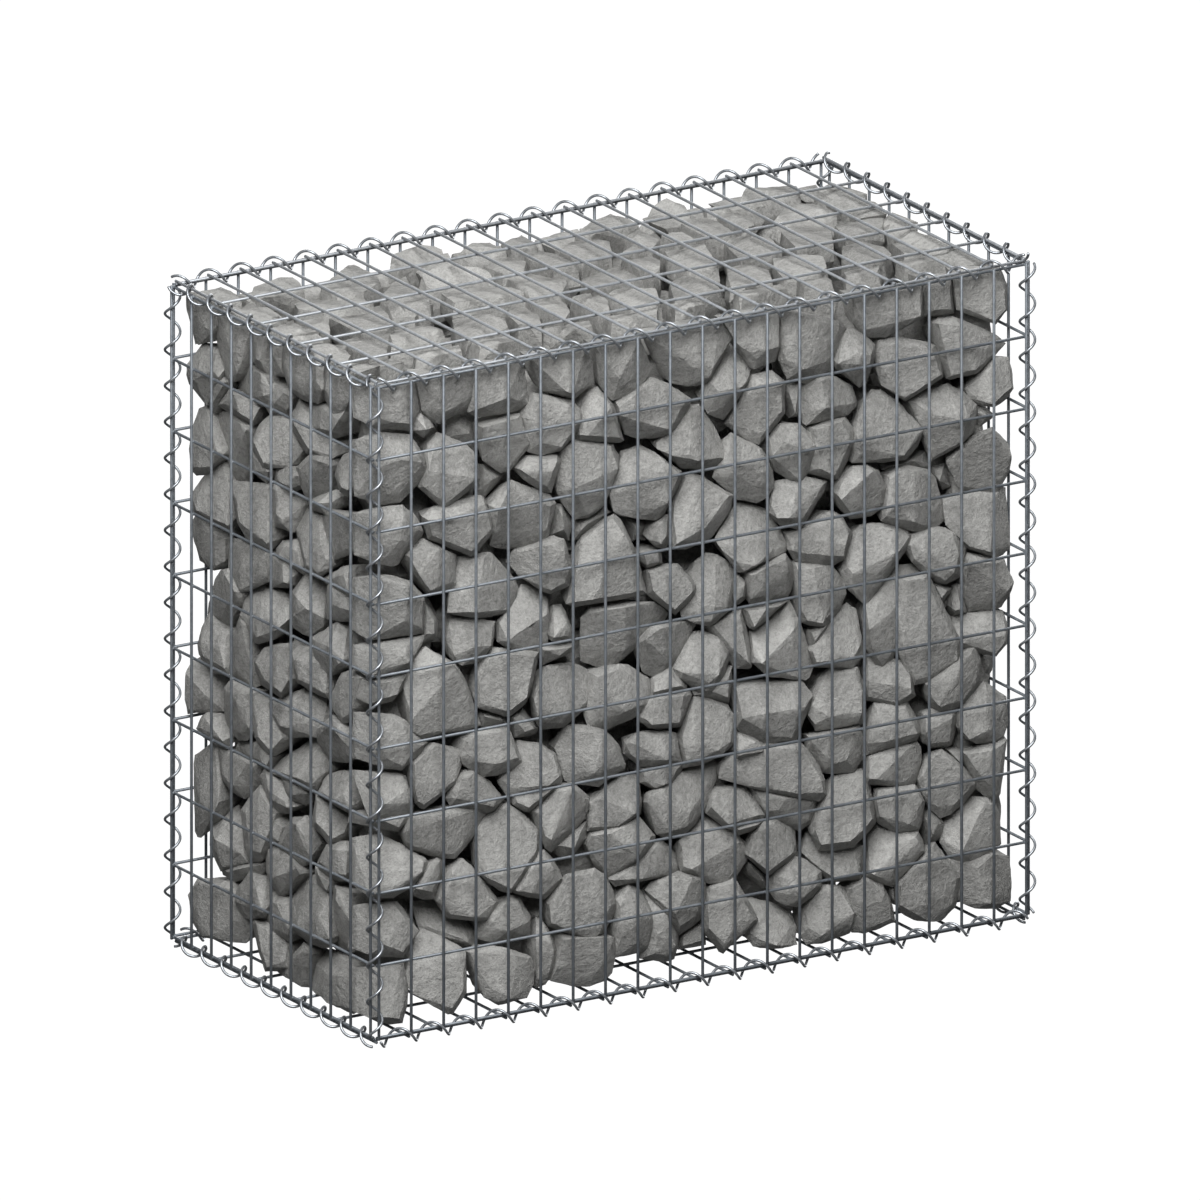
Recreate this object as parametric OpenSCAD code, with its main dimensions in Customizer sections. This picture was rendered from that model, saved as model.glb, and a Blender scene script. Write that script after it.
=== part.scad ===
// Gabion wall unit: a welded-mesh basket laced shut with spiral binders and filled with stone.
// Units are millimetres. X runs along the wall, Y from its front face to its back face, Z up.
// The origin is the middle of the unit's footprint, at the level it stands on.

/* [Basket] */
// Mesh spacing along the wall and along the end panels' uprights
cell_small = 50; // [40:5:60]
// Mesh spacing of the level wires up the wall, and of the lid's long wires
cell_large = 100; // [80:10:120]
// Cells along the wall
cells_long = 20; // [10:40]
// Cells from front to back, counted on the end panels' uprights
cells_deep = 10; // [6:2:20]
// Cells up the wall
cells_high = 9; // [4:12]

/* [Wire] */
// Mesh wire thickness
wire = 4; // [3:0.5:5]
// How far crossing wires sink into each other at a weld
weld_sink = 0.5; // [0.3:0.1:0.8]
// Stub of wire past the last weld
stub = 2; // [2:0.5:4]
// Gap between a panel's plane and the panel round the corner
corner_gap = 8; // [8:0.5:10]

/* [Spirals] */
// Pitch of a lacing spiral
spiral_pitch = 50; // [40:5:60]
// Centre-line radius of a lacing spiral
spiral_radius = 10.2; // [10:0.1:11]
// Spiral wire thickness
spiral_wire = 3.6; // [3:0.2:4]
// Straight steps in each turn of a spiral
steps = 8; // [8, 16]
// Sides of the spiral wire
wire_sides = 5; // [5:8]

/* [Fill] */
// Gap between the stone fill and the mesh around it
fill_gap = 5; // [3:1:20]
// Lifts the stone is placed in
lifts = 3; // [2:4]

/* [Hidden] */

// Sizes that follow from the mesh
len_x = cells_long * cell_small;
len_y = cells_deep * cell_small;
len_z = cells_high * cell_large;
sink = wire - weld_sink;               // between the planes of two welded layers
half_x = len_x / 2;                    // front and back panels' end uprights
half_y = len_y / 2 + corner_gap;       // planes of the front and back panels' uprights
end_x = half_x + corner_gap;           // planes of the end panels' uprights
end_half_y = len_y / 2;                // end panels' outermost uprights
lid_in = sink;                         // lid's long wires, over the top level wire
lid_out = 2 * sink;                    // lid's cross wires, over its long wires
spiral_off_x = half_x + corner_gap / 2;
spiral_off_y = half_y - corner_gap / 2;
spiral_lift = 3;                       // spiral centre outside the top and bottom level wires
base_z = spiral_lift + spiral_radius + spiral_wire / 2;  // bottom level wire over the ground

// ---------------------------------------------------------------- wires
// A straight eight-sided wire from a to b along one axis, flats facing its neighbours.
module bar_x(x0, x1) {
    translate([x0, 0, 0]) rotate([0, 90, 0]) rotate([0, 0, 22.5])
        cylinder(r = wire / 2 / cos(22.5), h = x1 - x0, $fn = 8);
}
module bar_y(y0, y1) {
    translate([0, y0, 0]) rotate([-90, 0, 0]) rotate([0, 0, 22.5])
        cylinder(r = wire / 2 / cos(22.5), h = y1 - y0, $fn = 8);
}
module bar_z(z0, z1) {
    translate([0, 0, z0]) rotate([0, 0, 22.5])
        cylinder(r = wire / 2 / cos(22.5), h = z1 - z0, $fn = 8);
}

// ---------------------------------------------------------------- mesh panels
// A long side: uprights outside (y = 0), level wires behind them.
module long_side(inward) {
    for (i = [0 : cells_long])
        translate([-half_x + i * cell_small, 0, 0]) bar_z(-stub - 0.5, len_z + stub + 0.5);
    for (k = [0 : cells_high])
        translate([0, inward * sink, k * cell_large]) bar_x(-half_x - stub, half_x + stub);
}
// An end: uprights outside (x = 0), level wires behind them.
module end_side(inward) {
    for (i = [0 : cells_deep])
        translate([0, -end_half_y + i * cell_small, 0]) bar_z(-stub - 0.5, len_z + stub + 0.5);
    for (k = [0 : cells_high])
        translate([inward * sink, 0, k * cell_large]) bar_y(-end_half_y - stub, end_half_y + stub);
}
// Lid or base: long wires next to the sides' level wires, cross wires outside them.
module flat_side(outward) {
    for (j = [0 : cells_deep / 2])
        translate([0, -end_half_y + j * cell_large, outward * lid_in]) bar_x(-half_x - stub, half_x + stub);
    for (i = [0 : cells_long])
        translate([-half_x + i * cell_small, 0, outward * lid_out])
            bar_y(-end_half_y - stub - 1, end_half_y + stub + 1);
}

// ---------------------------------------------------------------- spiral binders
// A right-handed lacing spiral along +Z in even steps. It begins at z = 0, turned by begin.
// The section is turned back a little at each ring, so that the wire isn't wrung along its length.
function ring(i, begin) = let (
        a = begin + i * 360 / steps,
        lean = atan(spiral_pitch / (2 * PI * spiral_radius)),
        out = [cos(a), sin(a), 0],
        over = [sin(a) * sin(lean), -cos(a) * sin(lean), cos(lean)],
        back = i * 360 / steps * sin(lean))
    [for (j = [0 : wire_sides - 1]) let (q = j * 360 / wire_sides - back)
        spiral_radius * out + [0, 0, i * spiral_pitch / steps]
            + spiral_wire / 2 * (cos(q) * out + sin(q) * over)];

module spiral(count, begin) {
    points = [for (i = [0 : count]) each ring(i, begin)];
    sides = [for (i = [0 : count - 1], j = [0 : wire_sides - 1]) let (
            a = i * wire_sides + j, b = i * wire_sides + (j + 1) % wire_sides)
        each [[a, a + wire_sides, b + wire_sides], [a, b + wire_sides, b]]];
    polyhedron(points = points, faces = concat(sides,
        [[for (j = [0 : wire_sides - 1]) j]],
        [[for (j = [0 : wire_sides - 1]) (count + 1) * wire_sides - 1 - j]]));
}
// Along the wall, its angle counted from +Y towards +Z; x is where it begins.
module spiral_x(x, y, z, count, begin) {
    translate([-half_x + x, y, z]) rotate([90, 0, 90]) spiral(count, begin);
}
// From front to back, its angle counted from +Z towards +X; y is where it begins.
module spiral_y(x, y, z, count, begin) {
    translate([x, -half_y + y, z]) rotate([0, -90, -90]) spiral(count, begin);
}
module spiral_z(x, y, z, count, begin) {
    translate([x, y, z]) spiral(count, begin);
}

long_steps = cells_long * steps;
short_steps = cells_deep * steps;
tall_steps = cells_high * cell_large / spiral_pitch * steps;
top_z = len_z + spiral_lift;
low_z = -spiral_lift;

// ---------------------------------------------------------------- stone fill
fill_in = sink + wire / 2 + fill_gap;           // fill's face behind the uprights' plane
clear = spiral_radius + spiral_wire / 2 + 2;    // room round a spiral's centre
fill_low = -lid_in + wire / 2;                  // rests on the base's long wires
fill_high = len_z - 2;                          // just under the lid's long wires
lift_z = (fill_high - fill_low) / lifts;

// One prism of fill, its corners cut back to clear the corner spirals.
module block(inset, z0, z1) {
    x = end_x - fill_in - inset;
    y = half_y - fill_in - inset;
    c = max(1, clear * sqrt(2) - (spiral_off_x - x) - (spiral_off_y - y));
    translate([0, 0, z0]) linear_extrude(height = z1 - z0)
        polygon([[-x + c, -y], [x - c, -y], [x, -y + c], [x, y - c],
            [x - c, y], [-x + c, y], [-x, y - c], [-x, -y + c]]);
}

// ---------------------------------------------------------------- sub-parts
module front_mesh_panel() { color([0.45, 0.48, 0.51]) translate([0, -half_y, base_z]) long_side(1); }
module back_mesh_panel() { color([0.45, 0.48, 0.51]) translate([0, half_y, base_z]) long_side(-1); }
module left_mesh_panel() { color([0.45, 0.48, 0.51]) translate([-end_x, 0, base_z]) end_side(1); }
module right_mesh_panel() { color([0.45, 0.48, 0.51]) translate([end_x, 0, base_z]) end_side(-1); }
module base_mesh_panel() { color([0.45, 0.48, 0.51]) translate([0, 0, base_z]) flat_side(-1); }
module lid_mesh_panel() { color([0.45, 0.48, 0.51]) translate([0, 0, base_z + len_z]) flat_side(1); }

module spiral_top_front() { color([0.6, 0.63, 0.67]) translate([0, 0, base_z]) spiral_x(0, -spiral_off_y, top_z, long_steps, 90); }
module spiral_top_back() { color([0.6, 0.63, 0.67]) translate([0, 0, base_z]) spiral_x(-1.7, spiral_off_y, top_z, long_steps, 45); }
module spiral_top_left() { color([0.6, 0.63, 0.67]) translate([0, 0, base_z]) spiral_y(-spiral_off_x, 6.3, top_z, short_steps, 270); }
module spiral_top_right() { color([0.6, 0.63, 0.67]) translate([0, 0, base_z]) spiral_y(spiral_off_x, 14, top_z, short_steps, 45); }
module spiral_bottom_front() { color([0.6, 0.63, 0.67]) translate([0, 0, base_z]) spiral_x(-1.2, -spiral_off_y, low_z, long_steps, 180); }
module spiral_bottom_back() { color([0.6, 0.63, 0.67]) translate([0, 0, base_z]) spiral_x(12.5, spiral_off_y, low_z, long_steps - 2, 45); }
module spiral_bottom_left() { color([0.6, 0.63, 0.67]) translate([0, 0, base_z]) spiral_y(-spiral_off_x, 8.5, low_z, short_steps, 180); }
module spiral_bottom_right() { color([0.6, 0.63, 0.67]) translate([0, 0, base_z]) spiral_y(spiral_off_x, 8, low_z, short_steps, 180); }
module spiral_corner_front_left() { color([0.6, 0.63, 0.67]) translate([0, 0, base_z]) spiral_z(-spiral_off_x, -spiral_off_y, 5, tall_steps - 2, 180); }
module spiral_corner_front_right() { color([0.6, 0.63, 0.67]) translate([0, 0, base_z]) spiral_z(spiral_off_x, -spiral_off_y, -0.3, tall_steps, 0); }
module spiral_corner_back_left() { color([0.6, 0.63, 0.67]) translate([0, 0, base_z]) spiral_z(-spiral_off_x, spiral_off_y, -2.1, tall_steps, 45); }
module spiral_corner_back_right() { color([0.6, 0.63, 0.67]) translate([0, 0, base_z]) spiral_z(spiral_off_x, spiral_off_y, 0, tall_steps, 0); }

module stone_fill_lower() {
    color([0.56, 0.54, 0.51]) translate([0, 0, base_z]) union() {
        block(clear, fill_low, low_z + clear);
        block(0, low_z + clear, fill_low + lift_z);
    }
}
module stone_fill_middle() {
    color([0.6, 0.58, 0.55]) translate([0, 0, base_z]) block(0, fill_low + lift_z, fill_high - lift_z);
}
module stone_fill_upper() {
    color([0.56, 0.54, 0.51]) translate([0, 0, base_z]) union() {
        block(0, fill_high - lift_z, top_z - clear);
        block(clear, top_z - clear, fill_high);
    }
}

front_mesh_panel();
back_mesh_panel();
left_mesh_panel();
right_mesh_panel();
base_mesh_panel();
lid_mesh_panel();
spiral_top_front();
spiral_top_back();
spiral_top_left();
spiral_top_right();
spiral_bottom_front();
spiral_bottom_back();
spiral_bottom_left();
spiral_bottom_right();
spiral_corner_front_left();
spiral_corner_front_right();
spiral_corner_back_left();
spiral_corner_back_right();
stone_fill_lower();
stone_fill_middle();
stone_fill_upper();
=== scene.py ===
"""Gabion wall: a welded-mesh basket laced shut with spirals and filled with broken stone."""
import bpy, bmesh, math, random
import numpy as np
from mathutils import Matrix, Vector, noise


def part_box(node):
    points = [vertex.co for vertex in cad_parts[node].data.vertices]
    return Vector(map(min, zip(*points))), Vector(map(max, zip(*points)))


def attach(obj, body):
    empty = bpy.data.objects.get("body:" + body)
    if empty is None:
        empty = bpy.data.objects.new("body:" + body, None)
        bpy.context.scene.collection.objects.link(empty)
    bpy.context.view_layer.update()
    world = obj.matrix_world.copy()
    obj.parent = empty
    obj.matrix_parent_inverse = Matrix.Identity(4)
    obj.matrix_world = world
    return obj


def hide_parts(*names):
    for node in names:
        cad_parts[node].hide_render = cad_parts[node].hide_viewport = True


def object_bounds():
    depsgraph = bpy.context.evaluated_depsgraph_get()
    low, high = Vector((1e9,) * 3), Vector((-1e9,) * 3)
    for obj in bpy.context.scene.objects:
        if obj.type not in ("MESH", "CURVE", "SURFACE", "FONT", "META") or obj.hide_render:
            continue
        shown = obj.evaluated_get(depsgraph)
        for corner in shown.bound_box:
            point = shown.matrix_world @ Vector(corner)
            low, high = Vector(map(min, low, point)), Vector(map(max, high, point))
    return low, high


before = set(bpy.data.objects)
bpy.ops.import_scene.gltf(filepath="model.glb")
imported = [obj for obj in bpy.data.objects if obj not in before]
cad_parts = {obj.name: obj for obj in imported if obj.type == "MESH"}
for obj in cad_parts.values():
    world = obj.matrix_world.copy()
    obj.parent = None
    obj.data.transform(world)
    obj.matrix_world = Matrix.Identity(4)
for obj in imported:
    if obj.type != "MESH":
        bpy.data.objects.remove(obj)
cad_lo, cad_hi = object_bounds()
sc = bpy.context.scene
sc.view_settings.view_transform = "Standard"
sc.view_settings.look = "None"

# ------------------------------------------------------------------ sizes, from the CAD's boxes
WIRE = 0.004
SINK = 0.0035                      # between the planes of two welded layers
STUB = 0.002
CELL_S, CELL_L = 0.05, 0.10
PITCH = 0.05
SPIRAL_R, SPIRAL_W = 0.0101, 0.0037
f_lo, f_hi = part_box("front_mesh_panel")
b_lo, b_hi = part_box("back_mesh_panel")
l_lo, l_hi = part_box("left_mesh_panel")
r_lo, r_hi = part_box("right_mesh_panel")
d_lo, d_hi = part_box("base_mesh_panel")
t_lo, t_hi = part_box("lid_mesh_panel")
X0, X1 = f_lo.x + STUB, f_hi.x - STUB            # end uprights of the long sides
YF, YB = f_lo.y + WIRE / 2, b_hi.y - WIRE / 2    # planes of the long sides' uprights
XL, XR = l_lo.x + WIRE / 2, r_hi.x - WIRE / 2    # planes of the end panels' uprights
Y0, Y1 = l_lo.y + STUB, l_hi.y - STUB            # end uprights of the end panels
Z0, Z1 = f_lo.z + STUB + 0.0005, f_hi.z - STUB - 0.0005   # bottom and top level wires
NX, NY, NZ = round((X1 - X0) / CELL_S), round((Y1 - Y0) / CELL_S), round((Z1 - Z0) / CELL_L)


# ------------------------------------------------------------------ mesh helpers
class Soup:
    """Vertices and faces of many shapes, made into one mesh."""

    def __init__(self):
        self.v, self.f, self.n, self.tone = [], [], 0, []

    def add(self, verts, faces, tone=0.5):
        verts = np.asarray(verts, float)
        self.v.append(verts)
        self.f.extend([tuple(int(i) + self.n for i in f) for f in faces])
        self.tone.append(np.full(len(verts), tone))
        self.n += len(verts)

    def build(self, name, material, replaces=(), flat=False):
        me = bpy.data.meshes.new(name)
        me.from_pydata(np.concatenate(self.v).tolist(), [], self.f)
        me.polygons.foreach_set("use_smooth", [True] * len(me.polygons))
        at = me.attributes.new("tone", "FLOAT", "POINT")
        at.data.foreach_set("value", np.concatenate(self.tone).astype(np.float32))
        me.materials.append(material)
        me.update()
        if flat:
            # normals weighted by area: a broad face is shaded flat up to its worn edge
            v, f = np.concatenate(self.v), np.array(self.f)
            n = np.cross(v[f[:, 1]] - v[f[:, 0]], v[f[:, 2]] - v[f[:, 0]])
            acc = np.zeros_like(v)
            for k in range(3):
                np.add.at(acc, f[:, k], n)
            acc /= np.maximum(np.linalg.norm(acc, axis=1), 1e-12)[:, None]
            me.normals_split_custom_set_from_vertices(acc.tolist())
        ob = bpy.data.objects.new(name, me)
        sc.collection.objects.link(ob)
        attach(ob, "root")
        if replaces:
            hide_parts(*replaces)
        return ob


def sweep(soup, path, radii, sides, ends=True):
    """A round tube along a path, its section turned as little as possible from point to point."""
    path = np.asarray(path, float)
    n = len(path)
    tan = np.gradient(path, axis=0)
    tan /= np.linalg.norm(tan, axis=1)[:, None]
    a = np.cross(tan[0], [0.3, 0.5, 0.81])
    a /= np.linalg.norm(a)
    ang = np.arange(sides) * 2 * math.pi / sides
    verts = []
    for i in range(n):
        a = a - tan[i] * (a @ tan[i])
        a /= np.linalg.norm(a)
        b = np.cross(tan[i], a)
        verts.append(path[i] + radii[i] * (np.cos(ang)[:, None] * a + np.sin(ang)[:, None] * b))
    faces = []
    for i in range(n - 1):
        for j in range(sides):
            k = (j + 1) % sides
            faces.append((i * sides + j, i * sides + k, (i + 1) * sides + k, (i + 1) * sides + j))
    if ends:
        faces.append(tuple(range(sides))[::-1])
        faces.append(tuple((n - 1) * sides + j for j in range(sides)))
    soup.add(np.concatenate(verts), faces)


def bar(soup, a, b, r=WIRE / 2, sides=12):
    """A straight cut wire: its ends keep a small burr-rounded edge."""
    a, b = np.array(a, float), np.array(b, float)
    d = (b - a) / np.linalg.norm(b - a)
    c = 0.0004
    pts = [a, a + d * c, b - d * c, b]
    sweep(soup, pts, [r - c, r, r, r - c], sides)


BLOB = None


def bead(soup, at, axis, r=(0.0027, 0.0027, 0.0021)):
    """The squashed metal of a weld, a little wider than the wires that it joins."""
    global BLOB
    if BLOB is None:
        rows, cols = 4, 8
        v = [(0, 0, 1)]
        for i in range(1, rows):
            t = math.pi * i / rows
            v += [(math.sin(t) * math.cos(2 * math.pi * j / cols), math.sin(t) * math.sin(2 * math.pi * j / cols), math.cos(t)) for j in range(cols)]
        v.append((0, 0, -1))
        f = [(0, 1 + j, 1 + (j + 1) % cols) for j in range(cols)]
        for i in range(rows - 2):
            for j in range(cols):
                p, q = 1 + i * cols + j, 1 + i * cols + (j + 1) % cols
                f.append((p, p + cols, q + cols, q))
        last = len(v) - 1
        f += [(last, last - cols + (j + 1) % cols, last - cols + j) for j in range(cols)]
        BLOB = (np.array(v, float), f)
    v, f = BLOB
    s = {"x": (r[2], r[0], r[1]), "y": (r[0], r[2], r[1]), "z": (r[0], r[1], r[2])}[axis]
    soup.add(v * np.array(s) + np.array(at), f)


# ------------------------------------------------------------------ materials
def nodes_of(name):
    m = bpy.data.materials.new(name)
    m.use_nodes = True
    nt = m.node_tree
    return m, nt.nodes, nt.links, nt.nodes["Principled BSDF"]


def noise_node(N, L, co, scale, detail=4.0, rough=0.55, dist=0.0):
    t = N.new("ShaderNodeTexNoise")
    t.inputs["Scale"].default_value = scale
    t.inputs["Detail"].default_value = detail
    t.inputs["Roughness"].default_value = rough
    t.inputs["Distortion"].default_value = dist
    L.new(co, t.inputs["Vector"])
    return t


def ramp(N, L, fac, stops):
    r = N.new("ShaderNodeValToRGB")
    e = r.color_ramp.elements
    while len(e) < len(stops):
        e.new(0.5)
    for k, (p, c) in enumerate(stops):
        e[k].position, e[k].color = p, (*c, 1.0)
    L.new(fac, r.inputs["Fac"])
    return r


def mathn(N, L, op, a, b=None, c=None):
    m = N.new("ShaderNodeMath")
    m.operation = op
    for i, x in enumerate((a, b, c)):
        if x is None:
            continue
        if isinstance(x, (int, float)):
            m.inputs[i].default_value = x
        else:
            L.new(x, m.inputs[i])
    return m.outputs[0]


def galvanised(name, dark, light, rough, metal):
    m, N, L, B = nodes_of(name)
    co = N.new("ShaderNodeTexCoord").outputs["Object"]
    spangle = noise_node(N, L, co, 170, 3, 0.6)
    cloud = noise_node(N, L, co, 14, 3, 0.5)
    mix = mathn(N, L, "ADD", mathn(N, L, "MULTIPLY", spangle.outputs["Fac"], 0.55), mathn(N, L, "MULTIPLY", cloud.outputs["Fac"], 0.45))
    col = ramp(N, L, mix, [(0.34, dark), (0.66, light)])
    L.new(col.outputs["Color"], B.inputs["Base Color"])
    rr = ramp(N, L, spangle.outputs["Fac"], [(0.3, (rough - 0.07,) * 3), (0.7, (rough + 0.1,) * 3)])
    L.new(rr.outputs["Color"], B.inputs["Roughness"])
    B.inputs["Metallic"].default_value = metal
    fine = noise_node(N, L, co, 900, 2, 0.5)
    bump = N.new("ShaderNodeBump")
    bump.inputs["Strength"].default_value = 0.12
    bump.inputs["Distance"].default_value = 0.0003
    L.new(fine.outputs["Fac"], bump.inputs["Height"])
    L.new(bump.outputs["Normal"], B.inputs["Normal"])
    return m


# the lid's wire is the same galvanised wire as the sides, painted lighter: painted light for the top, which faces the
# lamps
PAINTED_LIT_LID_WIRE = galvanised("galvanised_wire_painted_lit_lid", (0.23, 0.245, 0.262), (0.36, 0.378, 0.40), 0.45, 0.45)
MESH_WIRE = galvanised("galvanised_mesh_wire", (0.125, 0.140, 0.157), (0.21, 0.229, 0.25), 0.48, 0.50)
SPIRAL_WIRE = galvanised("galvanised_spiral_wire", (0.20, 0.214, 0.232), (0.32, 0.338, 0.36), 0.36, 0.72)


def stone_material():
    m, N, L, B = nodes_of("broken_stone")
    co = N.new("ShaderNodeTexCoord").outputs["Object"]
    tone = N.new("ShaderNodeAttribute")
    tone.attribute_name = "tone"
    # each stone takes its own patch of the pattern
    shift = N.new("ShaderNodeVectorMath")
    shift.operation = "ADD"
    k = N.new("ShaderNodeCombineXYZ")
    for i, f in enumerate((7.3, 3.1, 5.7)):
        L.new(mathn(N, L, "MULTIPLY", tone.outputs["Fac"], f), k.inputs[i])
    L.new(co, shift.inputs[0])
    L.new(k.outputs[0], shift.inputs[1])
    p = shift.outputs[0]
    cloud = noise_node(N, L, p, 16, 4, 0.55)
    grain = noise_node(N, L, p, 135, 5, 0.68)
    speck = noise_node(N, L, p, 420, 2, 0.6)
    # faint bedding that runs through each stone
    st = N.new("ShaderNodeMapping")
    st.inputs["Scale"].default_value = (14, 14, 70)
    st.inputs["Rotation"].default_value = (0.5, 0.35, 0.3)
    L.new(p, st.inputs["Vector"])
    bed = noise_node(N, L, st.outputs[0], 1.6, 3, 0.6, 0.4)
    mix = mathn(N, L, "ADD", mathn(N, L, "MULTIPLY", cloud.outputs["Fac"], 0.13), mathn(N, L, "MULTIPLY", grain.outputs["Fac"], 0.50))
    mix = mathn(N, L, "ADD", mix, mathn(N, L, "MULTIPLY", speck.outputs["Fac"], 0.32))
    mix = mathn(N, L, "ADD", mix, mathn(N, L, "MULTIPLY", bed.outputs["Fac"], 0.05))
    mix = mathn(N, L, "ADD", mix, mathn(N, L, "MULTIPLY", mathn(N, L, "SUBTRACT", tone.outputs["Fac"], 0.5), 0.10))
    col = ramp(N, L, mix, [(0.38, (0.212, 0.211, 0.203)), (0.50, (0.298, 0.296, 0.285)), (0.62, (0.375, 0.372, 0.359))])
    L.new(col.outputs["Color"], B.inputs["Base Color"])
    B.inputs["Roughness"].default_value = 0.9
    B.inputs["Specular IOR Level"].default_value = 0.25
    h = mathn(N, L, "ADD", mathn(N, L, "MULTIPLY", grain.outputs["Fac"], 0.8), mathn(N, L, "MULTIPLY", bed.outputs["Fac"], 0.10))
    h = mathn(N, L, "ADD", h, mathn(N, L, "MULTIPLY", speck.outputs["Fac"], 0.25))
    bump = N.new("ShaderNodeBump")
    bump.inputs["Strength"].default_value = 1.0
    bump.inputs["Distance"].default_value = 0.0040
    L.new(h, bump.inputs["Height"])
    L.new(bump.outputs["Normal"], B.inputs["Normal"])
    return m


STONE = stone_material()

# ------------------------------------------------------------------ mesh panels
def long_side(name, node, y, inward):
    s = Soup()
    for i in range(NX + 1):
        x = X0 + i * CELL_S
        bar(s, (x, y, Z0 - STUB - 0.0005), (x, y, Z1 + STUB + 0.0005))
    for k in range(NZ + 1):
        z = Z0 + k * CELL_L
        bar(s, (X0 - STUB, y + inward * SINK, z), (X1 + STUB, y + inward * SINK, z))
        for i in range(NX + 1):
            bead(s, (X0 + i * CELL_S, y + inward * SINK / 2, z), "y")
    return s.build(name, MESH_WIRE, [node])


def end_side(name, node, x, inward):
    s = Soup()
    for i in range(NY + 1):
        y = Y0 + i * CELL_S
        bar(s, (x, y, Z0 - STUB - 0.0005), (x, y, Z1 + STUB + 0.0005))
    for k in range(NZ + 1):
        z = Z0 + k * CELL_L
        bar(s, (x + inward * SINK, Y0 - STUB, z), (x + inward * SINK, Y1 + STUB, z))
        for i in range(NY + 1):
            bead(s, (x + inward * SINK / 2, Y0 + i * CELL_S, z), "x")
    return s.build(name, MESH_WIRE, [node])


def flat_side(name, node, z, outward):
    s = Soup()
    zi, zo = z + outward * SINK, z + outward * 2 * SINK
    for j in range(NY // 2 + 1):
        y = Y0 + j * CELL_L
        bar(s, (X0 - STUB, y, zi), (X1 + STUB, y, zi))
        for i in range(NX + 1):
            bead(s, (X0 + i * CELL_S, y, (zi + zo) / 2), "z")
    for i in range(NX + 1):
        x = X0 + i * CELL_S
        bar(s, (x, Y0 - STUB - 0.001, zo), (x, Y1 + STUB + 0.001, zo))
    # the lid gets the lighter copy of the wire, with painted light for its upward face; the base gets the plain wire
    return s.build(name, PAINTED_LIT_LID_WIRE if outward > 0 else MESH_WIRE, [node])


long_side("front_mesh", "front_mesh_panel", YF, 1)
long_side("back_mesh", "back_mesh_panel", YB, -1)
end_side("left_mesh", "left_mesh_panel", XL, 1)
end_side("right_mesh", "right_mesh_panel", XR, -1)
flat_side("base_mesh", "base_mesh_panel", Z0, -1)
flat_side("lid_mesh", "lid_mesh_panel", Z1, 1)


# ------------------------------------------------------------------ spiral binders
def spiral(name, node, axis, start_deg):
    """A smooth right-handed spiral where the CAD's stepped one is, from the same first angle."""
    lo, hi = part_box(node)
    lo, hi = np.array(lo), np.array(hi)
    mid = (lo + hi) / 2
    i = "xyz".index(axis)
    u, v, a = np.eye(3)[(i + 1) % 3], np.eye(3)[(i + 2) % 3], np.eye(3)[i]
    lean = math.atan(PITCH / (2 * math.pi * 0.0102))
    slack = 0.0018 * math.cos(lean)            # the wire's own width at the two cut ends
    length = hi[i] - lo[i] - 2 * slack
    turns = round(length / PITCH * 8) / 8
    first = mid[i] - turns * PITCH / 2
    n = int(turns * 24) + 1
    t = np.linspace(0, turns, n)
    ang = math.radians(start_deg) + 2 * math.pi * t
    path = np.outer(np.cos(ang) * SPIRAL_R, u) + np.outer(np.sin(ang) * SPIRAL_R, v) + np.outer(t * PITCH, a)
    base = mid.copy()
    base[i] = first
    path += base
    c = 0.0004
    d0, d1 = path[1] - path[0], path[-1] - path[-2]
    path = np.vstack([path[0], path[0] + d0 / np.linalg.norm(d0) * c, path[1:-1], path[-1] - d1 / np.linalg.norm(d1) * c, path[-1]])
    r = np.full(len(path), SPIRAL_W / 2)
    r[0] = r[-1] = SPIRAL_W / 2 - c
    s = Soup()
    sweep(s, path, r, 10)
    return s.build(name, SPIRAL_WIRE, [node])


for name, axis, first in (
    ("spiral_top_front", "x", 90), ("spiral_top_back", "x", 45), ("spiral_top_left", "y", 270), ("spiral_top_right", "y", 45),
    ("spiral_bottom_front", "x", 180), ("spiral_bottom_back", "x", 45), ("spiral_bottom_left", "y", 180), ("spiral_bottom_right", "y", 180),
    ("spiral_corner_front_left", "z", 180), ("spiral_corner_front_right", "z", 0), ("spiral_corner_back_left", "z", 45), ("spiral_corner_back_right", "z", 0),
):
    spiral(name + "_binder", name, axis, first)


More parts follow.
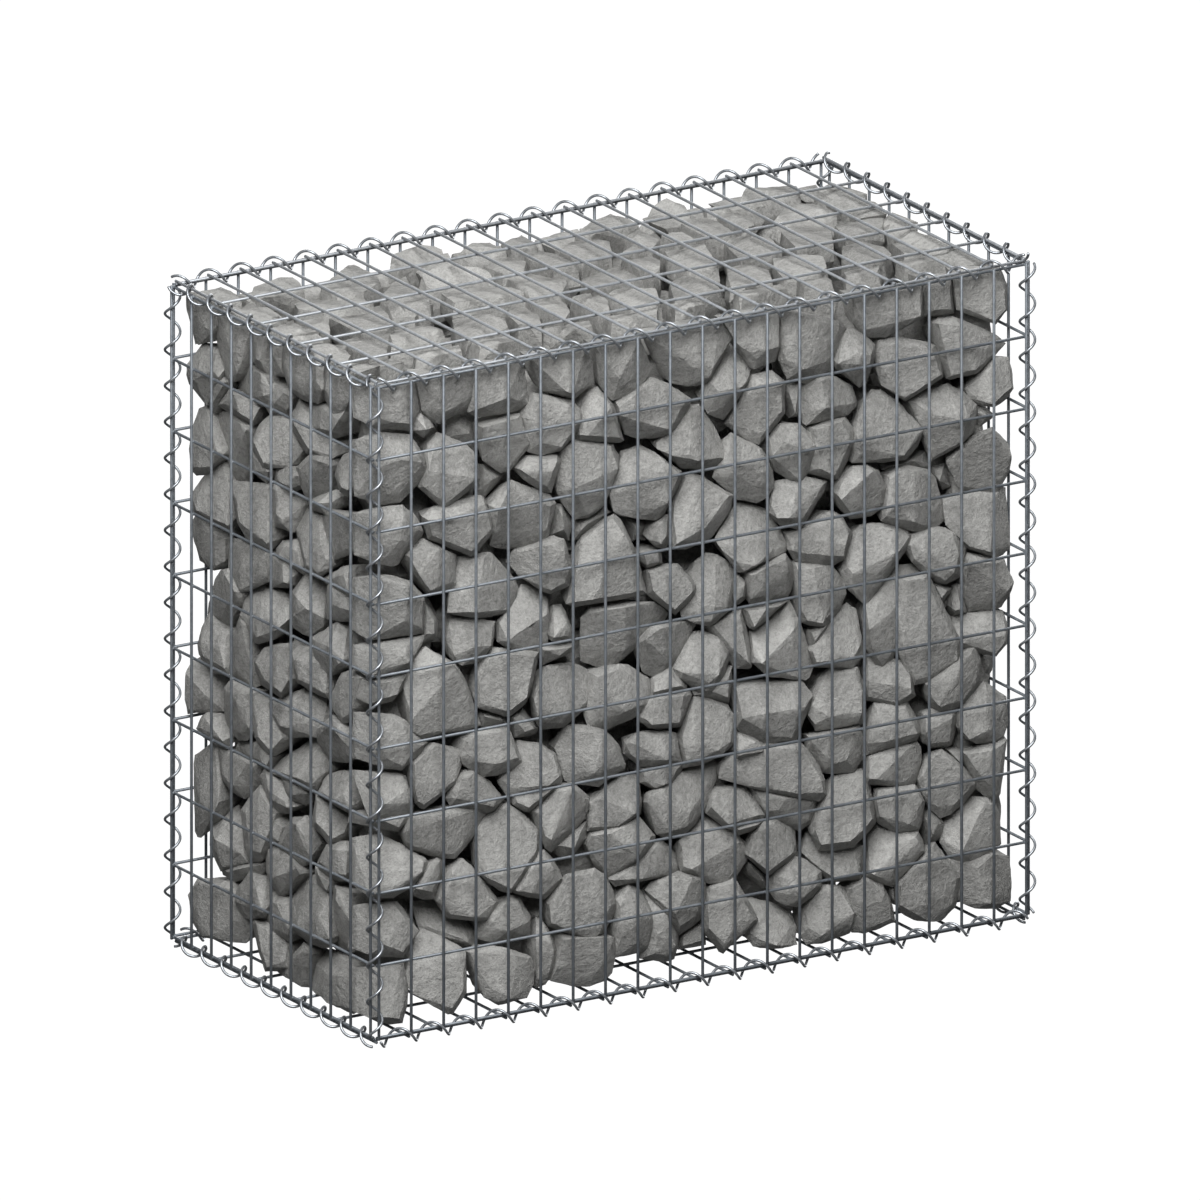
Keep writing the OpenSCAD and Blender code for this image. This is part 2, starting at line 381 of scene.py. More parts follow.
# ------------------------------------------------------------------ stones
# Each visible stone is one line: "@extra depth  outline points ; crest points", in centimetres on
# its face (across, up), a third number being that point's depth behind the stone's front.
# Front: across from the first upright, up from the bottom level wire.
FRONT = """
0,90 5.4,90 6.5,88 6.6,86 5,83.1 0,84.3 -1.2,85 -1.2,88; .6,88.4 4.2,88,.3 4.8,84.3 2.3,84.9,.5 .2,85.8
5.6,90 15.2,90 15.9,86.3 14.9,85.1 9.3,83.4 8.2,83.7 6.6,85.8 6.6,87.5; 8.5,89.2 13.5,88.6,.3 15,86.5 12.8,86.2,.2 10.3,84.9,.5 9.6,86.8,.3
5.2,83.2 6.9,81.9 8.6,83.2 8,84.2 6.6,85.7 5.9,84.8; 6.9,84.2,1.4 7.4,83
14.8,90 22.3,90 22.8,87.5 23.2,84 21.7,83.2 18.6,83.1 14.9,83.4 13.6,84.3 15.9,86.4; 16.5,89.3 21.8,89 22.5,85.4,.5 19.5,85.2,.2 16,84.6
23.4,90 32,90 33.1,88 33.4,85.1 32.4,85 30.3,83.3 29.8,83.4 25,85.4 24.4,85.8 22.9,88; 24.5,89 28.5,88.9,.2 31.6,86.5,.5 30.1,84.1 25.4,86.2 29,86.4,.3
@3.5 9.5,83.4 12.5,84.4 14.5,83.6 15.2,81 15.2,78.2 12.5,80.8 10,81.5; 12.5,82.8 14,81.4
22,82.3 23.4,84.6 23.8,85.5 25,85.1 30,83.3 31.2,81.8 31.8,80.2 30.1,78 28.1,76.4 25.2,76.3 22.9,77.2 23.9,78.3 22.9,80.6; 24,84.3 29.6,82.7,.5 31.2,80.3 28.2,77.1,.7 25,78.2,.5 23.6,81.6 26.5,81.4,.1
15.4,82.3 16.5,82.8 21.8,82.9 22.8,80.6 23.8,78.3 20.3,74.9 18.8,75 15.9,77.3 15.6,79.8; 20.2,79.9,.1 16,81.9 21.6,82.3 17.6,76.8,.8 23.2,78.3 20.1,75.6 16.1,79.9,.6
-1.5,83.3 0,84.1 4.9,82.9 6,81.3 7.6,79 7.8,76.8 5.5,75.3 3.3,73.6 0,73.8 -1.3,75.5; .2,82.3 4.6,82.3,.5 6.9,78.3,.3 4.3,76.6,.3 2.8,74.7 1.3,75.2 -.4,79 3.5,79.5,.1
7.4,81.2 8.9,82.7 10.2,82 13.4,80.2 14.8,78.8 15.5,76.8 15.8,74.7 10.7,71.5 9.7,71.7 7.5,73.7 6,75.2 7.7,77; 9.9,79.7,.2 12,79.9,.4 15,77.2,.6 15.2,75 10.4,72.2 6.9,75.2 8.2,78.6,.6 9,82
-1.5,73 0,73.6 3.7,73.4 5.5,71.8 6.5,70.2 7,69 6.7,68.3 5,66.8 3,65.1 2.2,65 0,65.5 -1.5,67; .3,71.6 3.8,71.4,.5 6.2,69.4 4.9,68,.3 2.4,68.5,.2 .4,68.2
6.4,71.3 8.2,72.3 10.3,71.6 13,71.9 15.8,72.7 16.3,72.2 17.1,70.3 17.9,68.3 17.7,66.8 15.5,64.9 14.2,64.2 10.3,66.2 7.5,67.8 7,69.8; 7.6,70.5 13.2,69.9,.1 16.4,71.2 17.4,67.6 14.4,65 12,66.4,.5 8.2,68.2
6.9,68.2 10.2,66.2 12,65 12,61 11.3,60.2 9,59.8 7.5,60 5.7,62.5 4,65.7 3.8,66.3 5.5,67; 4.5,66.1 9.6,66 10.9,65,.3 11,61.2,.3 8,60.6 6.4,62.8 7.3,67.2
16.9,71 18.5,72.5 20.5,74 24.8,71.7 26.4,70.9 27.4,69.5 27,67.7 26.4,65.2 26,64.4 23.6,63.8 21.9,64 18.8,64.5 17,65.2 17.7,66.5 17.9,68.3; 20.3,72.8,.8 23.8,69.6,.1 26.7,69.2 26,66.2 23.7,64.7 21.1,66.8,.3 17.9,67.1 18.5,70
22.9,76.9 25,76.3 27.6,76.2 28.3,75.2 27.4,72.8 26.7,70.9 25.3,71.3 22.5,73.3 21.1,75; 24.8,75.5,.2 27.5,75.2 26.1,71.8 23.2,73.9,.5 21.9,75
@2.2 15.6,76.9 16.3,76.8 18.5,75.2 19.8,75 16.2,71.9 14.8,73 15.8,74.8; 16.6,75.6 17.4,74.2
@2 27.3,69.3 27.1,67.5 26.5,65.2 28.6,64.5 29.5,63.8 30,66.5 28.5,69.2; 28.3,67.6 28.6,65.6
33.2,90 40.4,90 41.3,88 42.3,85.6 41.6,84.4 40,82.7 36.1,82 35.2,82.7 33.9,84.7 33,88; 35.6,89.5 35.6,87.2,.3 37.9,84,.4 41.7,85.6,.6 40,89.3
40.7,89.5 41.5,90 52.7,90 54.7,87.8 53.2,85.2 51.2,82.2 50.7,81.9 47.5,82 45.2,82.9 43.2,84.6 42.5,87.2; 43.2,87 45.2,85.9,.5 48,83.8,.5 51,82.8 54.1,87.8,.6 48.9,88.8,.1 42,89.4
54,85.9 55,86 57,85.2 57.5,82.7 57.2,81.3 55.2,78.4 53.2,76.4 50.7,77.8 49.7,79.7 50.3,81.2 51,82.2; 54,85 51.5,81.8 52.5,80.6,.2 54.7,80.6,.2 56.5,83.6 53.2,78.3,.7 56.8,81.2
53,90 55.5,90.2 61.9,90 62.1,87 62.1,85 61.3,83.2 58,82.7 57.3,83 57.1,84.8 55.2,86.1 54.9,87.7; 55.4,89.5 60,89.5,.4 61.8,88.8 61.8,85.2 59.8,85,.2 58.4,84,.6 57.2,85.2 55.4,86.6
62.2,90 62.2,85.5 61.6,83.4 63,80.4 65.2,80.2 66,79.2 67.5,79.3 69.8,80.4 70.2,82.1 71.9,85 72.4,86 71.2,87.3 68,88.2 65,89.2; 63.3,86.8 65.6,81.4 69.5,82,.7 70,84.3,.3 67.2,84.5,.1 71.2,86.6 66,88.3,.6 62.9,83.3
73,90 84,90 84.2,88 84.1,85.4 81,84.3 78.2,83.6 75.2,84.1 74.9,84.9 73,86.6 72.9,88.5; 73.6,89.6 73.5,87 75.4,85.2 77.6,85.3,.2 83.8,85.6 83.6,88.6 77.7,89.2,.1
@.8 84.1,90.3 88.5,90.3 88.9,86.5 88.9,85.2 87.5,85 85.2,85.5 84.1,85.5; 85.5,89.5 85.8,86.2 88.4,85.8 88.2,89.7
88.8,90 96,90 97.2,87.8 97.1,84.2 95.3,82.5 93.5,83.3 90.2,85.2 89.1,85.6; 91,88.9,.3 95.2,89.2 96.7,87 92.2,87.3,.1 90.2,87 90.6,85.5 95.2,83 96.8,84.4
85.2,84.6 86.3,85.1 88.8,84.9 90.6,84 95.3,81.3 97.9,79.7 95.4,78.3 92.5,76.2 88.2,76 87.4,76.3 87.2,78 86.3,81.5 85.4,83.2; 86.4,84.2 90.3,83.2 95.6,80.6 96.8,79.7,.4 88.6,79.8,.1 87.4,81.5 92.3,76.8 88.4,76.6
95.3,78.3 97.3,77.8 98.4,76 98.7,74.6 98.4,73.2 97,71.8 95.1,71 92.6,71.8 91,73 90.4,74.5 92.6,76.3; 95,77.6,.6 97.2,75.8,.2 95.3,73,.2 92.8,75.6 94.5,76,.2 97.8,73.4 94.8,71.6
77,83.6 80.2,83.6 82.7,82.8 85,82 86,81.4 86.9,79.3 87.3,77.6 87.3,76.6 84.7,75.6 81.3,74.2 80.2,75 77.5,77.2 76.7,79.5 76.6,82; 77.4,83 80.6,82.6 85.5,80.9 86.9,77 81.2,74.7 80.3,79.9,.1 77.5,79.8 85.8,80.3,.4
72.3,86 73.3,86 75,84.8 76.8,83 76.8,81.4 75.4,77.8 74.2,77.3 73.3,78.4 71.8,79.8 70.3,80.7 70.2,82 71.5,84.8; 72.6,85.4 74.6,83.9,.4 73.3,80.6,.2 70.8,81.3 76.2,82 75.9,80.4
65.1,78.6 66.2,79.2 68,80 69.8,80.1 70.6,79.7 73.1,78 74,75.5 73.8,74.8 72.5,73.9 70,73.9 66,73.5 65.3,74 65,76.5; 66,78.6 69,79.6 72.8,77.7 73.5,75.4 70,75.6,.3 66.6,75.2,.4 69.3,76.3,.1
@1.8 62.9,80 65,80 65.2,78.5 65.2,75 63.3,75 62.9,76.5; 63.5,78 64.6,77.2 64.3,75.6
57.5,82.2 60.8,82.3 62.9,80.3 62.8,77 62.8,75.8 60.6,73.6 58.7,72.1 57,72.9 55,74.4 53.1,76 54.5,77.2 55.6,78.7 56.8,80.2; 58.6,80.6 62.3,79.8 62.3,76.2 59.2,73.4 57.3,74.5,.3 54,76 56.9,79.3 58.4,79.4,.1
48.2,79.6 49.5,79.5 50.4,77.8 51.9,76 53.1,73.6 54.2,70.8 51.5,70 49,70.3 46.5,71 45.1,72.5 42.8,74.3 42.8,75.2 45.3,76.2 47.4,78.5; 48.5,79 49.7,78.4 52.8,71.4,.5 49.3,71.5,.3 48.2,72.6,.2 45.4,72.9 45.2,75.4
36.5,81.9 40,83 42.2,84.5 43,84 45,83 47.5,81 48.4,80.3 47.8,78.6 45.5,76 44.6,75.5 40,76.1 37.9,77.1 37,79.5; 37,81 42.2,83.8 44.6,81.2,.3 47.6,80.4 45,76.5 40.4,78.4,.6 37.3,79.8 41,79.9,.1
30.5,81 32.3,83.8 33.8,84.6 35,83 36.3,81.8 37,79.8 38,76.3 37.2,76 34,76.7 31,77.5 30.2,78.4 31.7,80.2; 33.5,83.8 35.8,81.7 36.3,79.9,.4 34.8,80.3,.2 31.8,80.2 37.3,76.8 31,78.2
28.4,75.3 28.2,77 30.2,78 32.2,77.1 36.3,76.2 37.2,74.5 37.3,72.6 36.2,70.6 35.3,69.6 34.9,67.8 32.4,66.4 30.2,66.6 28.5,68.9 27.3,71 27.5,72.8; 30,77.3 35.8,75.9 37,72.6 33.2,72.2,.1 29.8,73,.3 30.3,70.2,.4 34.9,69.2,.6 31,69,.5 32.4,67
37.2,72.5 37.2,75.1 40.2,75.5 42.6,74 45,72.1 46.9,70.6 46.5,68.7 45,66.5 44.2,65 42.9,64.3 40.2,65 37.3,65.9 36.2,66.6 35.5,69.2; 37.6,74.7 40.2,75 44.6,72.1 46.5,70.3 44.6,66.5 40.2,68.4,.4 38.6,70,.2 41,70.9,.1 37.8,72.4
47.2,70 48,70.3 50,69.4 54.9,65.9 54.3,63.6 51.5,60.6 50,59.9 47.5,59.5 45.2,60 44.9,63 45,66 46.4,68.8; 47.4,69.6 49.6,69 54.2,65.9 50.4,62,.3 46,60.6 45.5,64 45.6,66.3
@.6 41.6,63.5 42.9,64.2 44.7,65 45,62 44.5,60 42.5,60.8 41.5,62; 43.3,63.6 44.5,62 43.6,61
53.1,74 54.3,74.8 57,73 59.3,71.7 60.3,69.8 60.9,68.3 61.2,66 60.3,64.8 58.4,64 55.3,65.1 53,67.3 51.4,68.9 54,70.2 53.8,71.8; 54.3,74 58.9,71.6 59.9,70,.4 60.3,67.2 58.9,65.9,.4 55.2,68.5,.3 55.3,70,.2 54.2,72
60.2,72.6 61.9,74.7 65,74.1 67,72.2 68.4,70.1 68.2,69 65.2,65.7 64.5,65.6 61.1,68 60.2,70.3; 61.8,74 64.8,73.5 67.6,70.6 64,69.6,.2 60.8,70.1 64.8,66.3
66.2,73.4 70,74 72.1,73.9 73.2,72.3 74.2,70.4 73.2,68.7 71,65.2 70,65.3 66.4,66.7 66,67.2 68.4,69 68.4,70.3; 67.5,72.8 71.6,73.2 72.9,70.3,.4 70.3,70,.2 68.2,67.2 70.5,65.8 71.8,71.5,.3
74.5,75.2 76,77 77.5,76.7 80.3,74.6 83.4,70.9 84.3,69.8 83.3,67.7 81.4,66.1 78,66.3 75,66.8 73,67.1 72.6,68 73.8,70 73.2,72.5; 75,74.8 76.2,76.4 77.6,76.1 82.9,71,.5 78.2,70,.1 75.3,68.6,.6 73.8,70.6 83.3,69.6 81.2,66.8
81.7,74.3 84,75.3 87.8,75.8 90.5,74.2 91.4,72.5 92.4,72 92.6,70 91.7,68 90,66.7 85.2,65.2 84.3,67.4 84.3,69.9 83.4,71; 83,73.8 87.4,75 90.2,73.2 91.2,70.2 88,70,.1 84.8,69.9 85.6,65.8 90,67.2
@1.8 91.5,72.9 92.3,73 92.6,71.5 95,70.3 94.8,69.6 92.5,68.6 91.9,70; 92.6,70.8 94,70
92.5,68.2 94.7,68.6 97.2,66 98.4,63.9 97.5,61.8 95.4,59 92.5,59.3 89.3,61 88.6,63.2 87.5,64.8 90,65.5 91.4,66.5; 92.7,67.6 94.6,67.9 97.8,64 94.6,64,.1 88.9,64.3 90.5,60.9 94.6,59.7 96.8,61.5
72.6,66.4 73.2,66.9 75.5,66.7 77.3,65.5 78.4,63 78.2,60.3 76,59.2 72.7,59.4 71.2,61 70.2,63.6 70.5,64.9; 71.3,64.6 73.2,66.4 76.5,65.6 78,62.8 77.4,60.6 73,60.2 70.9,63 74.5,64.2,.2
60.6,66.5 61.6,66.9 64.4,65.6 66,66.6 69.4,65.4 68.8,63.8 66.3,61 65.2,59.2 62,60.3 60.2,62.5; 61,66 65,65.3,.5 68.8,65 65.6,60.8,.4 61.5,61.5 60.6,63.5
@3 37.6,65.9 40,65 42,64.3 41.6,63.2 40,62.4 39.2,62 38.3,64; 40,63.5 39.4,64.4
@2.4 30.3,66.6 32.5,66.4 34.9,67.8 36,66.8 34,65.2 31,63.7 30.1,63.8 29.6,65; 32.3,65.8 31.2,65
@3 77.2,66.4 81.5,66 84.4,67 85.2,65 84.8,64 82,65.5 79,65.2 77.6,65.3; 82.6,65.9 80,65.8
@3 85.3,64.8 87.4,64.8 88.5,61.3 87,61 86,63; 87,63.5 86.6,62.4
-1.5,64.2 0,64.3 2.5,63.8 5,62.6 7.2,60 7.1,57.5 6.9,54.9 4.5,54.9 0,55.1 -1.5,55.3; .2,63.5 2.4,63 4.8,61.8 6.9,59.4 6.7,55.7,.3 5.1,57.5,.1 .2,55.9,.4
-1.5,54.8 .2,54.8 4.8,54.6 7.2,54.8 6.9,53.6 5.8,52.2 5.1,51 4.6,50.4 0,49.9 -1.5,50; 0,54 4.5,53.7,.2 4.7,51.2,.3 .2,51 6,53,1
@1.2 7,59.6 8.2,58 9.3,56.2 9.1,54.2 8.8,53.8 7,53.8 6.2,53.2 6.5,56; 7.4,58.4 8.6,56.4 8.6,54.6 7.2,54.8
10.8,62 12.1,64.8 14.3,64.3 17,64.6 17.5,64.4 19.3,62.3 21.2,60 21.6,58.8 21.4,57.4 20.2,55.3 18,55.4 15.1,55.5 12.5,56.3 10.4,57.1 10.8,59.8; 13,64 16.9,63.9,.4 18.8,61.9 20.8,59.4 20.7,57.6 19.9,56 15.2,56.4,.1 11.1,57.7,.8 11.4,60,.9 15.2,61,.1
@.7 11.2,56.7 10.3,55 10.3,53.2 10.8,50.9 11.5,50.3 12.8,49.3 15.8,49.4 17.6,50.9 17.9,52.5 18.1,54.8 15,55.8; 10.8,55.8 14.8,54.8,.1 14.9,51.7,.2 11.6,51 17.6,54,1 17.4,51.4,1 12.6,49.9,1.2
5.4,51.6 7.2,53.2 9.6,51.2 11.6,50.2 12.7,48.9 13.4,47.6 14.4,44.8 15,42.4 16,40.6 14,40.4 6.2,40.3 5.3,40.9 4.4,43 3.9,45.8 3.7,47.8 4.6,49.8; 7.1,52.4,.9 9.9,50.2,.3 11.5,49.8 12.9,47.6 13.8,44.9 14.4,41.1 6.4,40.9 5.2,41.6 5.2,47,.3 6.3,49.8 9.5,45,0
@.8 -1.5,49.7 .2,49.8 4.6,49.9 3.6,47.6 2.2,46.3 .2,46.2 -1.5,46.5; .4,49.2 3.8,48.9 2.9,47.2 .3,46.9
-1.5,45.5 .2,45.2 2.3,44.7 4,43.7 4.6,42 5.2,40.6 7.6,39.7 6.8,38.6 4.9,37.2 3.6,36.4 1.2,37.1 0,37.8 -1.5,38.4; .3,44.6 2.2,44.1 3.9,42.8 4.6,40.5,.4 6.6,39.4,1.2 .3,40.6,.2 1.2,38.6,.4 2.2,39.3,.5 3.8,37,1 5.4,38.6,.9
4.8,37.2 5.3,37.8 8.4,39.7 10.1,38.9 12.1,38.1 13.4,37.8 12.8,35.4 12,33.2 10.1,32.2 7,30.4 6.2,30.8 5.4,31.6 5.1,33.4 4.9,35.2; 5.5,37 8.6,39.1 12.9,37.5 11.7,33.6 7,31.1 6,31.8 5.6,33.6
-1.5,37.3 .4,37 3.2,36.4 4.2,35.8 4.7,34.3 5.3,32.6 5.5,31.4 5.3,30.1 2.4,30 -1.5,30.2; .3,36.4 3.9,35.6 4.6,33.9 4.7,31.8 .4,32.4,.2 .6,30.8,1.3 5,30.7,1.3
@.2 13,39.4 15.2,40.1 19.8,40 20.4,39.2 21.2,37.4 22,35.4 22.2,34.5 20.4,33.7 18.8,33.2 16.3,33.4 15.2,34 12.9,35.6 12.6,36.8 13.3,38; 13.7,38.8 13.7,37,.7 15.3,35.7 18.1,34.9,.2 21.5,35.2 20.5,37.6 19.6,39.3 15.6,39.6 17,33.9,1.4 20.4,34,1.3
14.4,45 14.9,47.8 15.5,48.8 16.6,50.2 17.5,51.2 18.2,51.1 20.2,50.4 22,49.6 24.8,49.4 24.6,47.8 23.7,44.4 23,42.7 22.5,42.3 20.4,41.1 19.3,41.2 16.9,42.3 15.2,43.2; 15.5,46.6 17.2,50 20.9,49.7,.2 24.2,48.7,.5 22.9,43.3 20.1,41.8 15.6,43.8 17.8,48,.1 19.9,46,0
@.4 21.4,57.4 22,59.3 24.6,58.3 25.3,57 26.2,56.5 26.4,54 26.3,51.4 26.2,50.2 24.9,49.3 22.9,49.2 21,49.9 19.6,50.7 18.2,51.8 18,54.6 20.2,55.6; 22,58.5 24.6,57.5,.4 24.8,54.7,.1 21.3,52.4,0 18.6,54.4 20.2,51,.7 24.9,50.4,1 26,51.8,.9 25.9,56,.8
@1 26.4,54 26.5,52.6 26.6,50.4 28.7,49.9 30.2,49.8 30.4,50.6 29.9,52 28.9,54.2 28.2,55.5 26.8,55.6; 26.9,54.8 28.1,54.8 29.6,51.8 29.2,50.7 27,50.9
21.8,63.9 26.2,64.4 27,65.2 28.7,64.4 29.5,62.2 30.1,60 29.4,57.6 28.2,57.3 26.5,56.9 25.3,57.4 23.5,58.8 21.3,60.5 19.6,62.6 20.6,64.2; 22,63.6 27.2,63.9,.4 28.7,62.4 29.5,59.8,.6 28.8,58.1 26.6,57.5 26.1,60,.1 22.8,60.5,.6 20.7,62.6,.5
30.2,61 31,63.6 34,65.2 36.3,66.6 37.4,65.6 38.7,62.8 39.9,60.7 40.4,58.2 41.5,54.4 37,54.3 33,54.5 30.3,54.5 28.8,55.2 30,57.6; 31.5,63.1,.5 36.2,65.9,.6 38.6,62.3 39.5,59.8,.2 39.6,57.8 40.9,55 33,55.1,.1 30.4,55.3 30.7,60.4,.2 34,60,0
@.1 24.7,45.8 26,47.4 29.8,47.2 30.3,47 32.2,45.7 33.1,44.8 33.4,41.9 32.4,40.6 31.3,39.7 29.4,38.6 28.5,38.1 25.2,38.5 24.4,39.2 23.7,40.8 23.3,43 23.8,44.4; 26,46.9 30,46.6 32.6,44.5 32.9,41.8 31.1,40.4 24.5,40.4 23.9,43 25.3,45.7 26.4,43.2,.1 29,43.1,.1 25.4,39.3,.9 28.4,38.8,1.1
@.2 31,53 32.5,54.1 35,54 40,53.7 42.6,53.3 43.8,52.4 44.9,51.2 44.2,50.3 42,49.8 40,47.8 38.6,46.6 37.2,45.6 35.2,44.9 33,45.9 31,46.9 30.8,49; 32.6,53.3 40,53.2 43.2,52.7,.4 39.9,50.7,.4 37,49.9,.2 35.3,47.8,.2 34.8,46.1,.6 32.6,46.9,.9 31.6,50.3,.6 38.4,47.1,1.2
@1.6 24.8,49.9 26.6,50.4 30.4,49.7 30.1,48.4 27,47.6 25.3,47.3 24.9,47.7; 25.6,49.4 29.6,49.1 28,48.2
@.3 20.2,36.6 21.4,37.8 24.8,36.8 25.4,36.4 27.4,34.9 28.3,32 28.5,31 28.2,30.3 25,29.9 20.4,30 19.7,30.2 18.1,32.6 18.2,33.1 20,33.9 22.2,34.8; 21.5,37.2 24.9,36.1 27,34.7 27.9,31.5,.4 25,31.1,.2 20.6,31.1 18.7,32.8 23.6,34.8,.1 20.8,30.3,1.2 27.6,30.6,1.2
@.2 27,35.6 28.7,38.6 30.4,38.4 33,37.8 35,36.9 37,34.6 38.3,31.4 38,30.8 35.4,29.9 34,29 30,30 28.6,30.8 28.3,31.6 27.6,34.4; 28.8,37.6,.6 32.2,37 34.8,36 36.6,34.2,.4 35.2,32.4,.2 31.6,32.8,.1 29.1,31.9,.6 37.4,31.4,.9 34,30.2,1
@1.5 15.4,43 16.9,42.4 19.6,41.2 19.8,40.2 16,40.2 15.2,41; 16.4,41.8 19,40.8
@1.8 20.4,41.4 22.2,42.2 23.6,40.6 24.9,38.9 24.4,38 22.9,37.7 20.9,38 20.3,40; 20.8,40.8 21.9,41.2 24.1,38.8 22.6,38.6
@.6 33,44.9 35.3,45.1 37.2,45.7 38.6,45.3 40,44.3 41.9,42.8 42.3,41 42,39.4 40.2,37.8 35.2,36.6 32.2,37.5 31.5,39.4 33.2,41.4 33.5,42.6; 33.7,44.3 37,44.8 40,43.2 41.6,41.4 41.5,39.6,.7 38.2,38.7,.3 36.6,40.1,.1 34,40.3 35.2,37.4,1.1 32.6,38.1,1.3
@1.2 40.2,60.6 43.6,60.6 43.9,58.2 41.4,57.8 40.4,59; 40.9,60.2 43.2,60 43.3,58.6 41.4,58.5
@.3 41,57.2 41.4,58 44.4,58.2 46.2,58 47.2,56.8 48.5,55.4 49.1,54.4 49.1,53.2 47.4,51.8 45.8,50.7 44.9,51.4 43.6,52.5 42.6,53.2 41.3,54.4; 41.8,57.3 46,57.4 48.3,54.9 48.6,53.6 45.8,51.5 43.6,53.4,.3 44.6,55,0 42.3,54.8,.3
@.1 47.6,56.4 48.7,58 50,58.6 50.5,58.8 52.4,58.1 53.6,57.2 54.9,56 55.1,55.2 55,52.7 54.8,50.5 54,49.7 52,48.5 51,48.3 50,48.6 48,49.5 46.7,50.4 46.5,51.3 48,52.6 48.6,54; 48.4,56.9 50.3,57.8,.5 54.5,55.1 54.3,52.5,.2 53.8,50.5,.5 50.7,51.2,.2 50.6,54.7,.1 49,54.4,.5 47.4,51,1.3 51.4,48.9,1
@.1 55.1,65 58.3,64 59.8,63.2 60.2,61.5 60.8,60.3 62,60 63.3,57.6 62.9,56.6 60,55.7 56.6,54.6 55.3,55 54.8,57 53,58.4 51.7,60.4 54.5,63.5; 55.6,64.2,.5 57.6,63.7 59.6,62.4,.6 59.8,60.4,.1 61.9,59.2,.5 60.8,57.1,.2 57.1,57,.1 55.4,56.4,.5 54.7,58.6,.2 53,60.3,.6 56.4,55,1.1 62.5,57,1
@.3 57,54.9 60,55.7 61.8,56.5 62.9,56.6 64,54.8 64.3,52.2 63.7,51 63.2,50.2 60,50 57.2,50.2 56.8,51.4 57,53.2; 57.5,54.3 60.2,54.9 62.9,55.7 63.3,54.4,.1 62.9,50.9 57.3,50.8,.8 57.4,53 64,52.4,1.1
@1 55,55.2 56.4,54.6 57.2,53.2 56.9,51.2 55.4,50.4 54.7,52; 55.4,54.4 56.6,53.2 56.3,51.6 55.3,51.2
@.8 56,50 63.4,49.9 62.6,49.3 60,47.7 57.9,46.5 57.1,47; 56.9,49.5 61.8,49.3,.4 60,49.4,.1 58,47.1
@.1 60.2,48 63.4,50 64.3,48.5 65.1,46.8 66.1,44 66.9,41.4 67.2,39.9 66.6,38.5 66,38.2 65,38.7 63,39.2 60,39.8 57.5,42.2 57.4,43.4 57,45.9 57,46.8; 57.5,46.1 60,47.3 63.2,49.2 64.2,47,.4 64.1,44.4,.1 60.2,42.4,.2 57.9,43,.5 58.8,41.8,.8 66.4,41,.8 61,40.4,1 65.6,39.4,1
@.8 50.3,48.4 52.6,49.2 56.1,50 57.1,46.4 57.7,43.2 57.7,41.6 57.2,41.3 55,41.7 54.4,42.4 54,45 52.6,46.9; 51.6,48.4 55.8,49.2 56.3,46,.2 57.2,42.2 54.4,44.9 53.2,46.7 55,47,.1
@.1 46.2,45 47.5,46.9 48.6,48.2 50,48.1 52,47.1 53.2,46.5 54.2,44.5 54.4,43.4 53.6,41.4 52.3,39.8 51.6,38.7 50.8,38.6 49.9,39.4 48.7,39.9 46.5,41.8 45.2,43.6; 46.8,44.7,.4 48.8,47.5 52.7,46.2 52,43.9,.1 48.7,43.5,0 49.2,41,.4 51,40.4,.2 53.8,43.6,.7 52.4,41,.6 50.8,39.3,1 47,42.3,1.1
@.3 41,49.2 42.3,50.1 48,49.8 49.1,49 48.2,47.6 47.4,46.4 46.2,44.8 45.2,43.8 43.5,42.6 41.8,42.9 40.6,43.8 40.1,45.6 39.9,47.8; 41.1,48.2,.2 43.4,49.3 46,49.3,.3 47.5,48.6,.7 46,45.9,.7 44.4,46.5,.1 41.6,47.4,.1 44.6,44.7,.9 43.3,43.3,1.1 41.1,44.8,.9
@.8 42.1,43.1 43.6,43 45,44 46,43.2 47.7,41 47.7,40 42,40; 42.6,42.3 44.9,42.9 46.8,40.8 42.5,40.7
@.5 42,40.2 47.9,40.3 48.5,39.4 47.3,36.5 46.7,35.1 43,35.2 41.6,35.8 40.2,36.9 40.2,37.6 41.9,38.6; 42.8,39.7 44.9,39.7 47.1,39.4 46.5,35.8 42.2,36.2 41,37.3,.8 44.4,38.4,0 48,39.1,1.2
@1.4 48.2,40.2 48.6,39.2 50.8,38.4 51.6,38.9 54.7,42.4 54.7,39.8 54.1,36.9 53,37.2; 54.2,41 54,38 51.6,39.2
@.1 47.8,37.4 48.6,39.2 50.8,38.6 54,37.2 55,35.4 55,33.2 55,31.6 54,30.6 52,29.9 50,29.2 47,29.3 46.6,30.6 46.5,32 46.3,33.6 47,35.2; 48.5,38,.4 50.6,38 53.8,36.6 54.6,34.8 54.4,31.7,.3 52.5,30.9 50.4,32,0 47,32.3,.4 46.9,33.8,.4 50.3,35,.1 53.2,30.3,1.1 49,29.9,1.1 47.5,30.4,1
@.2 38,34.6 39.8,35.6 43,35.3 45.2,35.1 46.1,34.5 46.5,32.8 46.7,31.4 47,30.2 44,30 40.3,30.6 38.9,31.8 37.6,33; 38.2,34.2 40,34.9 45.2,34.4,.2 45.3,31.4,.1 40.2,31.7,.2 38.8,32.7 46,33.8,.7 46.4,31.2,1 42,30.4,1.2
55.1,39.3 56.3,39.6 60,39.4 61.6,39.3 64.6,39.1 65.3,38.6 67.2,36.2 66.7,35 65.7,32.6 64.6,30.2 60,30.2 57,31.6 55.9,33.5 55.1,33.4 55,36; 56.3,38.9 61,38.9,.2 64.5,38.4 65,36.2,.1 64.7,33.6 63.8,30.7 61.1,31.3,.1 61,36.4,0 55.7,36.8 56.3,33.9,.8 66.6,36.1,.9 65.5,33.2,1
